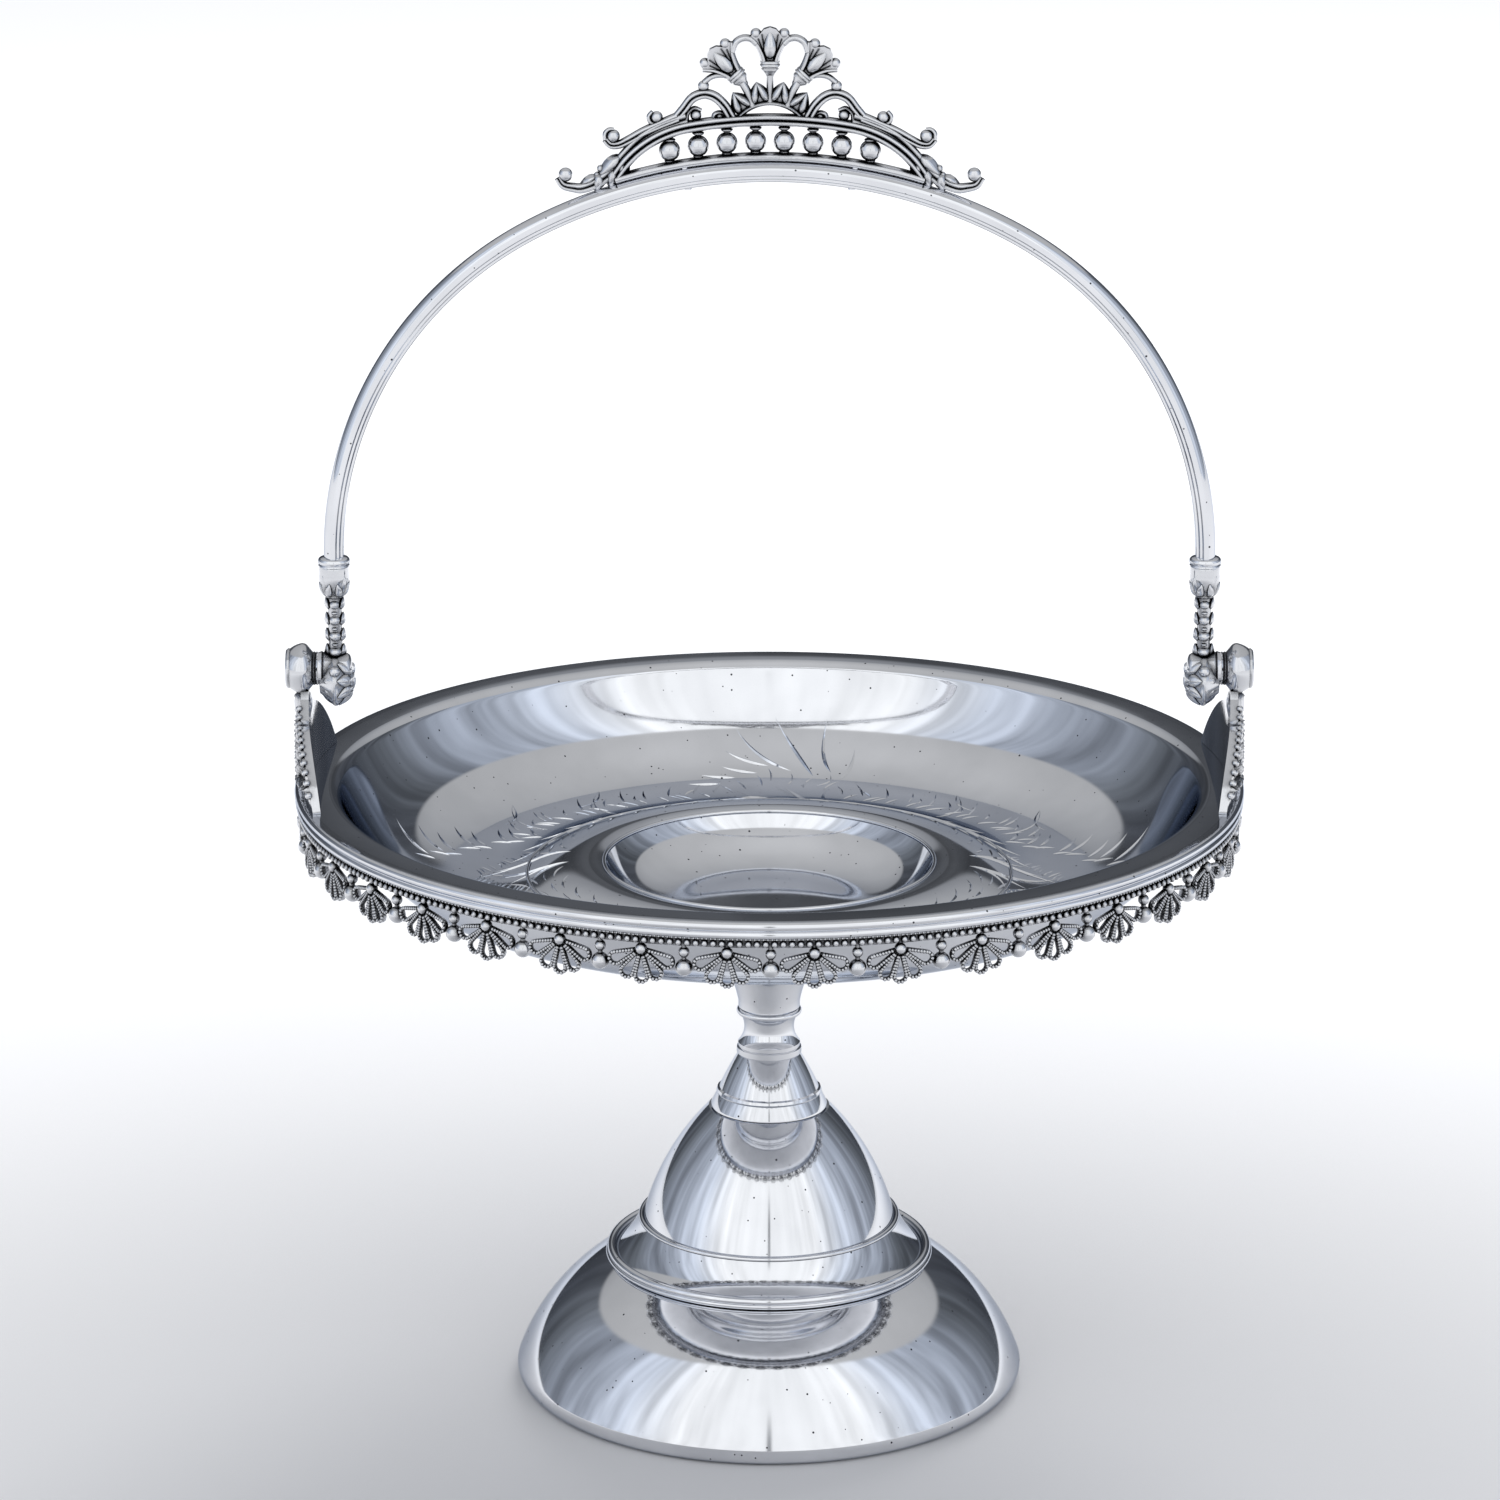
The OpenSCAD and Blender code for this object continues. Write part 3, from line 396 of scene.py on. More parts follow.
def silver_plate():
    """Silver plate, wheel polished: a cool mirror, faintly uneven and cloudy from wear, with dark pits."""
    material, tree, shader, place = metal("polished silver plate")
    # A thin film of tarnish greys the metal where it is seen at a low angle
    shader.inputs["Specular Tint"].default_value = linear("#c2c8d2")
    # Pits up to about half a millimetre across, a few millimetres apart, of uneven size
    cells = add_node(tree, "TexVoronoi", {"Vector": place}, {"Scale": per_metre(2.4)})
    spared = add_node(tree, "MapRange", {"Value": cells.outputs["Color"]},
                      {"From Min": 0.4, "From Max": 0.8, "To Min": 0.0, "To Max": 0.12})
    pit = add_node(tree, "Math", {0: cells.outputs["Distance"], 1: spared.outputs["Result"]},
                   operation="LESS_THAN")
    # Cloudy wear of the polish over some centimetres
    clouds = add_node(tree, "TexNoise", {"Vector": place},
                      {"Scale": per_metre(28), "Detail": 3, "Roughness": 0.6})
    tone = add_node(tree, "ValToRGB", {"Fac": clouds.outputs["Fac"]})
    set_stops(tone, ((0.3, "#e2e3e6"), (0.7, "#f1f2f5")))
    colour = add_node(tree, "Mix", {"Factor": pit.outputs["Value"], "A": tone.outputs["Color"]},
                      {"B": linear("#55565a")}, data_type="RGBA")
    tree.links.new(colour.outputs["Result"], shader.inputs["Base Color"])
    shine = add_node(tree, "MapRange", {"Value": clouds.outputs["Fac"]},
                     {"From Min": 0.3, "From Max": 0.75, "To Min": 0.035, "To Max": 0.085})
    dull = add_node(tree, "Math", {0: pit.outputs["Value"], 1: shine.outputs["Result"]}, operation="MAXIMUM")
    dull_limit = add_node(tree, "Math", {0: dull.outputs["Value"]}, {1: 0.55}, operation="MINIMUM")
    tree.links.new(dull_limit.outputs["Value"], shader.inputs["Roughness"])
    # Waves left by the spinning and years of rubbing, two centimetres long and microns high
    waves = add_node(tree, "TexNoise", {"Vector": place}, {"Scale": per_metre(20), "Detail": 1})
    bump = add_node(tree, "Bump", {"Height": waves.outputs["Fac"]}, {"Strength": 0.5, "Distance": 0.06 * MM})
    tree.links.new(bump.outputs["Normal"], shader.inputs["Normal"])
    return material


def cast_silver():
    """Cast silver, finished by hand: bright where it is rubbed, black with oxide in its hollows."""
    material, tree, shader, place = metal("oxidised cast silver")
    hollow = add_node(tree, "AmbientOcclusion", None, {"Distance": 2.4 * MM}, samples=6, only_local=True)
    grain = add_node(tree, "TexNoise", {"Vector": place}, {"Scale": per_metre(1.2), "Detail": 3})
    uneven = add_node(tree, "Math", {0: grain.outputs["Fac"], 2: hollow.outputs["AO"]}, {1: 0.1},
                      operation="MULTIPLY_ADD")
    tone = add_node(tree, "ValToRGB", {"Fac": uneven.outputs["Value"]})
    set_stops(tone, ((0.55, "#0e0e10"), (0.75, "#4a4b4e"), (0.9, "#9a9b9e"), (1.0, "#dfe0e3")))
    tree.links.new(tone.outputs["Color"], shader.inputs["Base Color"])
    shine = add_node(tree, "MapRange", {"Value": uneven.outputs["Value"]},
                     {"From Min": 0.5, "From Max": 0.95, "To Min": 0.42, "To Max": 0.1})
    tree.links.new(shine.outputs["Result"], shader.inputs["Roughness"])
    bump = add_node(tree, "Bump", {"Height": grain.outputs["Fac"]}, {"Strength": 0.35, "Distance": 0.06 * MM})
    tree.links.new(bump.outputs["Normal"], shader.inputs["Normal"])
    return material


def turned_steel():
    """Plain steel from the lathe: dull grey, with fine tool marks and some brown."""
    material, tree, shader, place = metal("turned steel")
    clouds = add_node(tree, "TexNoise", {"Vector": place}, {"Scale": per_metre(5), "Detail": 4})
    tone = add_node(tree, "ValToRGB", {"Fac": clouds.outputs["Fac"]})
    set_stops(tone, ((0.35, "#6f6255"), (0.6, "#9a9794")))
    tree.links.new(tone.outputs["Color"], shader.inputs["Base Color"])
    marks = add_node(tree, "TexWave", {"Vector": place}, {"Scale": per_metre(1.5), "Distortion": 0.5},
                     bands_direction="Z")
    shine = add_node(tree, "MapRange", {"Value": marks.outputs["Fac"]}, {"To Min": 0.32, "To Max": 0.5})
    tree.links.new(shine.outputs["Result"], shader.inputs["Roughness"])
    return material


METALS = {"polished_silver": silver_plate(), "cast_silver": cast_silver(), "bolt_steel": turned_steel()}


# Foot and stem

def foot_bell():
    """The foot: a ring on the table, a rolled lip, the bell and the seat for the dome."""
    rest_r, lip_r, bell_r, shoulder_r, seat_r = 61.3, 4, 53.2, 40.6, 35.1
    lip_end = Vector((rest_r, lip_r)) + polar(lip_r, 20.8)
    path = [(rest_r - 1.5, 0), (rest_r, 0)]
    path += arc((rest_r, 0), lip_end, lip_r, 14)
    path += arc(lip_end, (shoulder_r, FOOT_TOP), bell_r, 40)
    path += [(seat_r, FOOT_TOP)]
    bm = bmesh.new()
    lathe(bm, sheet_outline(path, SHEET))
    keep(bm, "foot_bell_spun", "stand", "polished_silver", ["foot_bell"])


def dome():
    """The dome: a rounded flange, a cove, a ring and the bell-shaped top."""
    flange_top = FOOT_TOP + JOINT_GAP + SHEET
    cove_foot, cove_top = (40.6, flange_top), (33.4, DOME_FOOT)
    dome_foot, dome_top = (32.5, DOME_FOOT), (15.5, DOME_TOP)
    path = [(41.2, flange_top - 0.45), (41.7, flange_top - 0.25), (41.5, flange_top), cove_foot]
    path += arc(cove_foot, cove_top, -21.3, 18)
    path += [dome_foot]
    path += arc(dome_foot, dome_top, 66, 40)
    path += [(BOLT_HOLE_R, DOME_TOP)]
    bm = bmesh.new()
    lathe(bm, sheet_outline(path, SHEET))
    torus(bm, 32.95, DOME_FOOT, 1.5)
    torus(bm, 40.7, flange_top + 0.6, 2.3)
    torus(bm, 41.5, flange_top - 0.5, 1.4)
    keep(bm, "dome_spun", "stand", "polished_silver", ["dome"])


def stem():
    """The stem's three pieces: the ringed cone, the waisted neck and the socket under the dish."""
    bm = bmesh.new()
    edge = [(14.6, 0), (14.9, 0.25), (14.85, 0.8)]
    ring = [(13.35, 3.75), (13.5, 4.2), (13.25, 4.9), (12.7, 5.2)]
    outline = [(BOLT_HOLE_R, CONE_FOOT)]
    outline += [(r, CONE_FOOT + h) for r, h in edge + ring]
    cone_top = NECK_FOOT - JOINT_GAP
    outline += arc(outline[-1], (8.1, cone_top - 0.3), 70, 10)
    outline += [(7.9, cone_top), (BOLT_HOLE_R, cone_top)]
    lathe(bm, outline, 128)
    keep(bm, "cone_turned", "stand", "polished_silver", ["stem_cone"], 25)

    bm = bmesh.new()
    band = [(8.1, 0), (8.3, 0.3), (8.3, 1.7), (8.1, 2), (7.95, 2.1), (7.95, 3)]
    outline = [(BOLT_HOLE_R, NECK_FOOT)]
    outline += [(r, NECK_FOOT + h) for r, h in band]
    outline += arc(outline[-1], (7.3, NECK_TOP - 1.9), -6.2, 18)
    outline += [(7.8, NECK_TOP - 1.7)]
    outline += arc(outline[-1], (7.8, NECK_TOP), 0.95, 10)
    outline += [(BOLT_HOLE_R, NECK_TOP)]
    lathe(bm, outline, 128)
    keep(bm, "neck_turned", "stand", "polished_silver", ["stem_neck"], 25)

    bm = bmesh.new()
    collar = [(7.7, 0), (7.9, 0.3), (7.9, 1.9)]
    path = [(BOLT_HOLE_R, SOCKET_FOOT)]
    path += [(r, SOCKET_FOOT + h) for r, h in collar]
    path += arc(path[-1], (23, SOCKET_TOP - SHEET), -40, 30)
    path += [(25, SOCKET_TOP - SHEET)]
    lathe(bm, sheet_outline(path, SHEET))
    keep(bm, "socket_spun", "stand", "polished_silver", ["stem_socket"], 25)


# Dish

def dish_path():
    """The upper side of the dish, from the middle of the well out to the edge of the sheet."""
    well_floor = Vector((19, WELL_BOTTOM))
    well_mouth = Vector((WELL_R, WELL_TOP))
    hump = (HUMP_R, WELL_TOP + 0.5)
    half_way = ((HUMP_R + FLOOR_R) / 2, (hump[1] + FLOOR_Z) / 2)
    floor_start = Vector((FLOOR_R, FLOOR_Z))
    wall_top = Vector((BOWL_R - 0.6, RIM_Z - 2.2))
    out, down = half_way[0] - hump[0], hump[1] - half_way[1]
    ogee_r = (out ** 2 + down ** 2) / (2 * down)
    path = [Vector((0, WELL_BOTTOM))]
    path += eased(well_floor, (14, 0), well_mouth, (4, 6.4), 32)
    path += arc(well_mouth, hump, -25.25, 6)
    path += arc(hump, half_way, -ogee_r, 14)
    path += arc(half_way, floor_start, ogee_r, 14)
    path += eased(floor_start, (22, 0), wall_top, (7, 14), 48)[1:]
    path += arc(wall_top, (BOWL_R + 2.6, RIM_Z - 0.1), -3.85, 12)
    path += [Vector((SHEET_EDGE_R, RIM_Z))]
    return path


DISH_PATH = dish_path()


def dish_height(radius):
    """Height of the dish's upper side at a distance from its middle."""
    for p, q in zip(DISH_PATH, DISH_PATH[1:]):
        if p.x <= radius <= q.x and q.x > p.x:
            return p.y + (q.y - p.y) * (radius - p.x) / (q.x - p.x)
    return RIM_Z


def dish():
    """The spun dish, with a bead round the mouth of its well and a raised line on the ring outside it."""
    bm = bmesh.new()
    lathe(bm, sheet_outline(DISH_PATH, -SHEET))
    torus(bm, WELL_R, WELL_TOP, 1.2)
    torus(bm, RING_LINE_R, dish_height(RING_LINE_R) + 0.05, 1.0)
    keep(bm, "dish_spun", "stand", "polished_silver", ["dish"])


def cut(bm, start, end, sag, width):
    """One stroke of the graver: a slim ridge, steeper on one side. Its ends are a radius and an angle."""
    ridge_aside, clear_of_sheet = 0.35, 0.015
    p, q = polar(*start), polar(*end)
    aside = left_of(q - p)
    stroke = bmesh.new()
    bmesh.ops.create_grid(stroke, x_segments=10, y_segments=2, size=0.5)
    for v in stroke.verts:
        share = v.co.x + 0.5
        side = 2 * v.co.y or ridge_aside
        taper = math.sin(math.pi * share ** 0.75)
        at = p.lerp(q, share) + aside * (4 * sag * share * (1 - share) + side * width / 2 * taper)
        lift = 0.5 * width * taper if abs(side) < 1 else 0
        v.co = (at.x, at.y, dish_height(at.length) + clear_of_sheet + lift)
    join(bm, stroke)


# Blades of the tuft: the radius and angle of each end, and how far the blade sags
BLADES = ((88, -9, 102, -7, 1.6), (86, -6, 102, 1, -0.8), (88, -2, 100, 7, 0.8), (85, -11, 96, -12, -0.8),
          (90, 2, 95, 9, 0.5), (87, 4, 90, 10, 0.4), (85, 8, 87, 14, 0.4), (82, 11, 83, 17, 0.4))


def spray(bm, middle):
    """An engraved spray over half of the dish, drawn from common grasses, leaves and flowers."""
    # A tuft of blades in the middle, with its two stems
    for r, a, r_end, a_end, sag in BLADES:
        cut(bm, (r, middle + a), (r_end, middle + a_end), sag, 1.0)
        cut(bm, (r - 7, middle + a * 0.8), (r - 1, middle + a), -sag, 0.5)
    cut(bm, (48, middle + 14), (54, middle - 10), 21, 0.9)
    cut(bm, (79, middle - 1), (54, middle - 10), 2, 0.9)
    for side in (-1, 1):
        # Short grasses along the foot of the ring, uneven in length
        for i in range(15):
            at = middle + side * (13 + 3.3 * i + math.sin(i * 1.9))
            reach = 3.5 + 2.2 * math.sin(i * 2.3)
            cut(bm, (76, at), (78 + reach, at - side * (2 + math.sin(i))), side * 0.4, 0.6)
            cut(bm, (72, at + side), (77, at + side * (3 + math.sin(i * 1.3))), -side * 0.3, 0.5)
        # Leaves on the ring itself
        for i in range(8):
            at = middle + side * (8 + 9.5 * i)
            for lean in (-3.2, -1.2, 1, 3):
                tip = (60 + 2.4 * lean, at + side * (8 + math.sin(i + lean)))
                cut(bm, (59 + lean, at), tip, side * lean * 0.3, 0.6)
        # Two curls that stand off the ring
        for a, r in ((37, 85), (55, 88)):
            cut(bm, (r - 17, middle + side * (a + 1)), (r, middle + side * (a - 3)), side * 3.5, 0.5)
            cut(bm, (r, middle + side * (a - 3)), (r - 6, middle + side * (a + 5)), side * 2.2, 0.5)
        # Blades that get longer towards the end of the ring, with smaller ones under them
        for i in range(8):
            at = middle + side * (61 + 3.2 * i + math.sin(i * 2.7))
            r = 70 + 2.6 * i
            cut(bm, (r, at), (r + 6 + 0.5 * i + math.sin(i * 2.1), at - side * 4.5), side * 0.7, 0.8)
            cut(bm, (r - 2, at + side), (r + 3, at + side * (3 + math.sin(i * 1.7))), -side * 0.5, 0.6)
        # A flower at the end: two long petal edges, ribs between them and hairs on its mouth
        for r_end, a_end, sag in ((74, 88, 3), (70, 92, 1.5), (66, 98, -1), (62, 104, -3)):
            cut(bm, (51, middle + side * 95), (r_end, middle + side * a_end), side * sag, 0.7)
        for i in range(12):
            at = middle + side * (103 - 1.2 * i)
            cut(bm, (61 + 1.1 * i, at), (64 + 1.1 * i + math.sin(i * 1.6), at + side * 3.5), side * 0.2, 0.5)


def engraving():
    """The engraving: one spray behind the well and one before it."""
    bm = bmesh.new()
    spray(bm, 88)
    spray(bm, 268)
    keep(bm, "dish_engraving", "stand", "polished_silver", [], 20)


def rim_reeds():
    """The moulding: two reeds, one over the other, with a ledge under the sheet."""
    reed_c = RIM_R - UPPER_REED_R
    step_r = SHEET_EDGE_R + JOINT_GAP
    ledge_top = RIM_Z - SHEET - JOINT_GAP
    reeds = round_arc((reed_c, MOULDING_Z + LOWER_REED_R), LOWER_REED_R, -80, 70, 16)
    reeds += round_arc((reed_c, RIM_Z - UPPER_REED_R), UPPER_REED_R, -62, 90, 16)
    outline = [(LEDGE_R, MOULDING_Z), (reed_c, MOULDING_Z)]
    outline += [(p.x, p.y) for p in reeds]
    outline += [(step_r, RIM_Z), (step_r, ledge_top), (LEDGE_R, ledge_top)]
    bm = bmesh.new()
    lathe(bm, outline)
    keep(bm, "rim_reeds", "stand", "polished_silver", ["rim_moulding"], 50)


# Border

def shell_mesh():
    """One shell, seen from outside: five open loops of wire edged with beads, hung from a round hub."""
    radius, bead_r, bead_y = 1.5, 0.5, 0.6
    bm = bmesh.new()
    for angle, length in ((-66, 6.92), (-31, 6.8), (0, 6.8), (31, 6.8), (66, 6.92)):
        along = polar(1, angle - 90)
        end = along * length
        flare = math.degrees(math.asin(radius / length))
        tip = round_arc(end, radius, angle - 180 - flare, angle + flare, 12)
        line = [along * 0.7 + (tip[0] - end) * 0.12] + tip + [along * 0.7 + (tip[-1] - end) * 0.12]
        wire(bm, line, 0.9, 1.3, sides=8)
        for leg in ((line[0], line[1]), (line[-1], line[-2])):
            for share in spread(0.24, 0.98, 6):
                at = leg[0] + (leg[1] - leg[0]) * share
                ball(bm, (at.x, bead_y, at.y), bead_r, BEAD)
        for p in tip[1:-1:2]:
            ball(bm, (p.x, bead_y, p.y), bead_r, BEAD)
    ball(bm, (0, 0.3, 0), 1.45)
    wire(bm, [Vector((0, 0)), Vector((0, 2))], 1.2, 1.2)
    return kept_mesh("shell", bm)


def ball_drop_mesh():
    """A small ball over a large one, on a wire that hangs from the band."""
    bm = bmesh.new()
    ball(bm, (0, 0, 0), 2.1)
    ball(bm, (0, 0, SMALL_BALL_Z - BALL_Z), 1.35)
    wire(bm, [Vector((0, 0)), Vector((0, BAND_Z - BALL_Z + 0.6))], 1.2, 1.2)
    return kept_mesh("ball drop", bm)


def round_the_rim(angle, radius, height):
    """Place on the rim: a shape's y points outwards and its x runs round."""
    return Matrix.Rotation(angle - math.pi / 2, 4, "Z") @ Matrix.Translation((0, radius, height))


def border_repeat():
    """One repeat of the border: a row of beads, a finer row over it, a shell and a ball drop at its end."""
    bm = bmesh.new()
    first = STRIP_START - SHELL_PITCH / 2
    rows = ((10, BAND_R, BAND_Z + 0.95, (0.84, 0.8, 0.84)),
            (20, BAND_R + 0.2, BAND_Z + BAND_H - 0.15, (0.34, 0.3, 0.3)))
    for count, radius, height, size in rows:
        for i in range(count):
            at = round_the_rim(first + (i + 0.5) * SHELL_PITCH / count, radius, height)
            stamp(bm, BEAD, at @ Matrix.Diagonal((*size, 1)))
    stamp(bm, shell_mesh(), round_the_rim(0, SHELL_R, HUB_Z))
    stamp(bm, ball_drop_mesh(), round_the_rim(SHELL_PITCH / 2, SHELL_R, BALL_Z))
    return kept_mesh("border repeat", bm)


def border():
    """The cast strips: each is a piece of band with its shells and ball drops."""
    repeat = border_repeat()
    strip_angle = 2 * math.pi / STRIP_COUNT
    strip_gap = 0.0004
    band = [(-2.4, 0), (-0.35, 0), (-0.2, 0.2), (-0.2, BAND_H - 0.5), (0.2, BAND_H - 0.3)]
    band += [(0.2, BAND_H), (-2.4, BAND_H)]
    section = [(BAND_R + out, BAND_Z + up) for out, up in band]
    for number in range(STRIP_COUNT):
        bm = bmesh.new()
        turn = Matrix.Rotation(number * strip_angle + STRIP_START, 3, "Z")
        ring = [bm.verts.new(turn @ Vector((r, 0, z))) for r, z in section]
        edges = [bm.edges.new((ring[i - 1], ring[i])) for i in range(len(ring))]
        bm.faces.new(ring)
        made = bmesh.ops.spin(bm, geom=ring + edges, cent=(0, 0, 0), axis=(0, 0, 1),
                              angle=strip_angle - strip_gap, steps=48)["geom_last"]
        bmesh.ops.contextual_create(bm, geom=[g for g in made if isinstance(g, bmesh.types.BMEdge)])
        for i in range(SHELLS_PER_STRIP):
            stamp(bm, repeat, Matrix.Rotation(number * strip_angle + (i + 0.5) * SHELL_PITCH, 4, "Z"))
        keep(bm, f"border_{number + 1}", "stand", "cast_silver", [f"border_strip_{number + 1}"], 60)


# Ears and hinge

HINGE_LINE = Matrix.Translation((0, 0, PIVOT_Z)) @ Matrix.Rotation(math.pi / 2, 4, "Y")


def ear_top(s):
    """Height of the ear's edge above the rim, at a distance s from its middle: neck, hollow, then wing."""
    neck_half, shoulder_half, shoulder_h, wing_r = 4.2, 12, 17, 36
    s = abs(s)
    if s < neck_half:
        return 23.6
    if s < shoulder_half:
        return shoulder_h + 5.4 * ((shoulder_half - s) / (shoulder_half - neck_half)) ** 1.6
    return max(0.4, -17.4 + math.sqrt(max(0, wing_r ** 2 - (s - 1.51) ** 2)))


# Lobes of the ear's leaf: the lean from upright in degrees, the length and the width
EAR_LOBES = ((0, 21, 4.4), (27, 19, 4.2), (50, 20, 4.4), (68, 25, 4), (82, 31, 3))


def ear_relief(s, h):
    """Relief of the leaf on the ear's outer face: ribbed lobes that spread from its foot."""
    best = 0
    up = h - 1.2
    for lean, length, width in EAR_LOBES:
        a = math.radians(lean)
        along = abs(s) * math.sin(a) + up * math.cos(a)
        aside = abs(s) * math.cos(a) - up * math.sin(a)
        share = along / length
        if 0.02 < share < 1:
            half = width / 2 * math.sin(math.pi * share ** 0.85) ** 0.8 * (1 + 0.16 * math.cos(along * 2.4))
            if abs(aside) < half:
                swell = (1 - (aside / half) ** 2) ** 0.6
                rib = max(0, 1 - abs(aside) / 0.45)
                veins = 0.16 * math.cos((along - abs(aside) * 0.8) * 3.4)
                best = max(best, (1.3 + 1.6 * veins) * swell + 0.4 * rib)
    return best


def on_ear(s, radius, height):
    """A place on the ear: a distance along the rim, a distance from the axis and a height above the rim."""
    return (radius * math.cos(s / EAR_ARC_R), radius * math.sin(s / EAR_ARC_R), RIM_Z + height)


def ear(other_side):
    """An ear with its leaf and boss, and the pin that goes through the boss."""
    bm = bmesh.new()
    loops = []
    for inner in (True, False):
        grid = bmesh.ops.create_grid(bm, x_segments=120, y_segments=44, size=0.5)["verts"]
        for v in grid:
            s = EAR_W * v.co.x
            h = JOINT_GAP + (v.co.y + 0.5) * ear_top(s)
            r = EAR_IN_R if inner else EAR_R - 0.4 + ear_relief(s, h)
            v.co = on_ear(s, r, h)
        loops += [e for v in grid for e in v.link_edges if e.is_boundary]
    bmesh.ops.bridge_loops(bm, edges=list(set(loops)))
    # A row of beads follows the edge of each wing
    for i in range(-14, 15):
        s = 2.15 * i
        if abs(s) > 5:
            ball(bm, on_ear(s, EAR_R, ear_top(s) - 0.35), 0.95, BEAD)
    # Three leaves hang on the neck, one outside and one at each edge
    for turn in (0, math.pi / 2, -math.pi / 2):
        petal = Matrix.Translation((EAR_R - 1.2, 0, RIM_Z + 24)) @ Matrix.Rotation(turn, 4, "Z")
        petal = petal @ Matrix.Translation((0.7, 0, 0)) @ tilted(-90)
        stamp(bm, LOBE, petal @ Matrix.Diagonal((11, 3.4, 3.2, 1)))
    boss = [(PIN_R, 113.7), (4.1, 113.7), (4.3, 113.95), (4.0, 114.25), (4.3, 114.55), (4.1, 114.9)]
    boss += [(4.5, 115.2)]
    boss += flowing([(5.0, 115.6), (6.0, 116.5), (6.4, 117.5), (6.2, 118.6), (5.75, 119.7), (5.2, 120.6)], 4)
    boss += [(5.05, 120.7), (5.05, 121.3), (4.7, 121.7), (PIN_R, 121.7)]
    add_turned(bm, boss, 64, HINGE_LINE)
    side = "left" if other_side else "right"
    keep(bm, f"ear_{side}_leaf", "stand", "cast_silver", [f"ear_{side}"], 40, other_side)

    pin = [(0, 104.3), (0.9, 104.4), (1.4, 104.7), (PIN_R, 105.1), (PIN_R, 121.7), (1.1, 121.85), (0, 121.9)]
    bm = bmesh.new()
    lathe(bm, pin, 48, HINGE_LINE)
    keep(bm, f"pin_{side}_turned", "stand", "polished_silver", [f"hinge_pin_{side}"], 40, other_side)


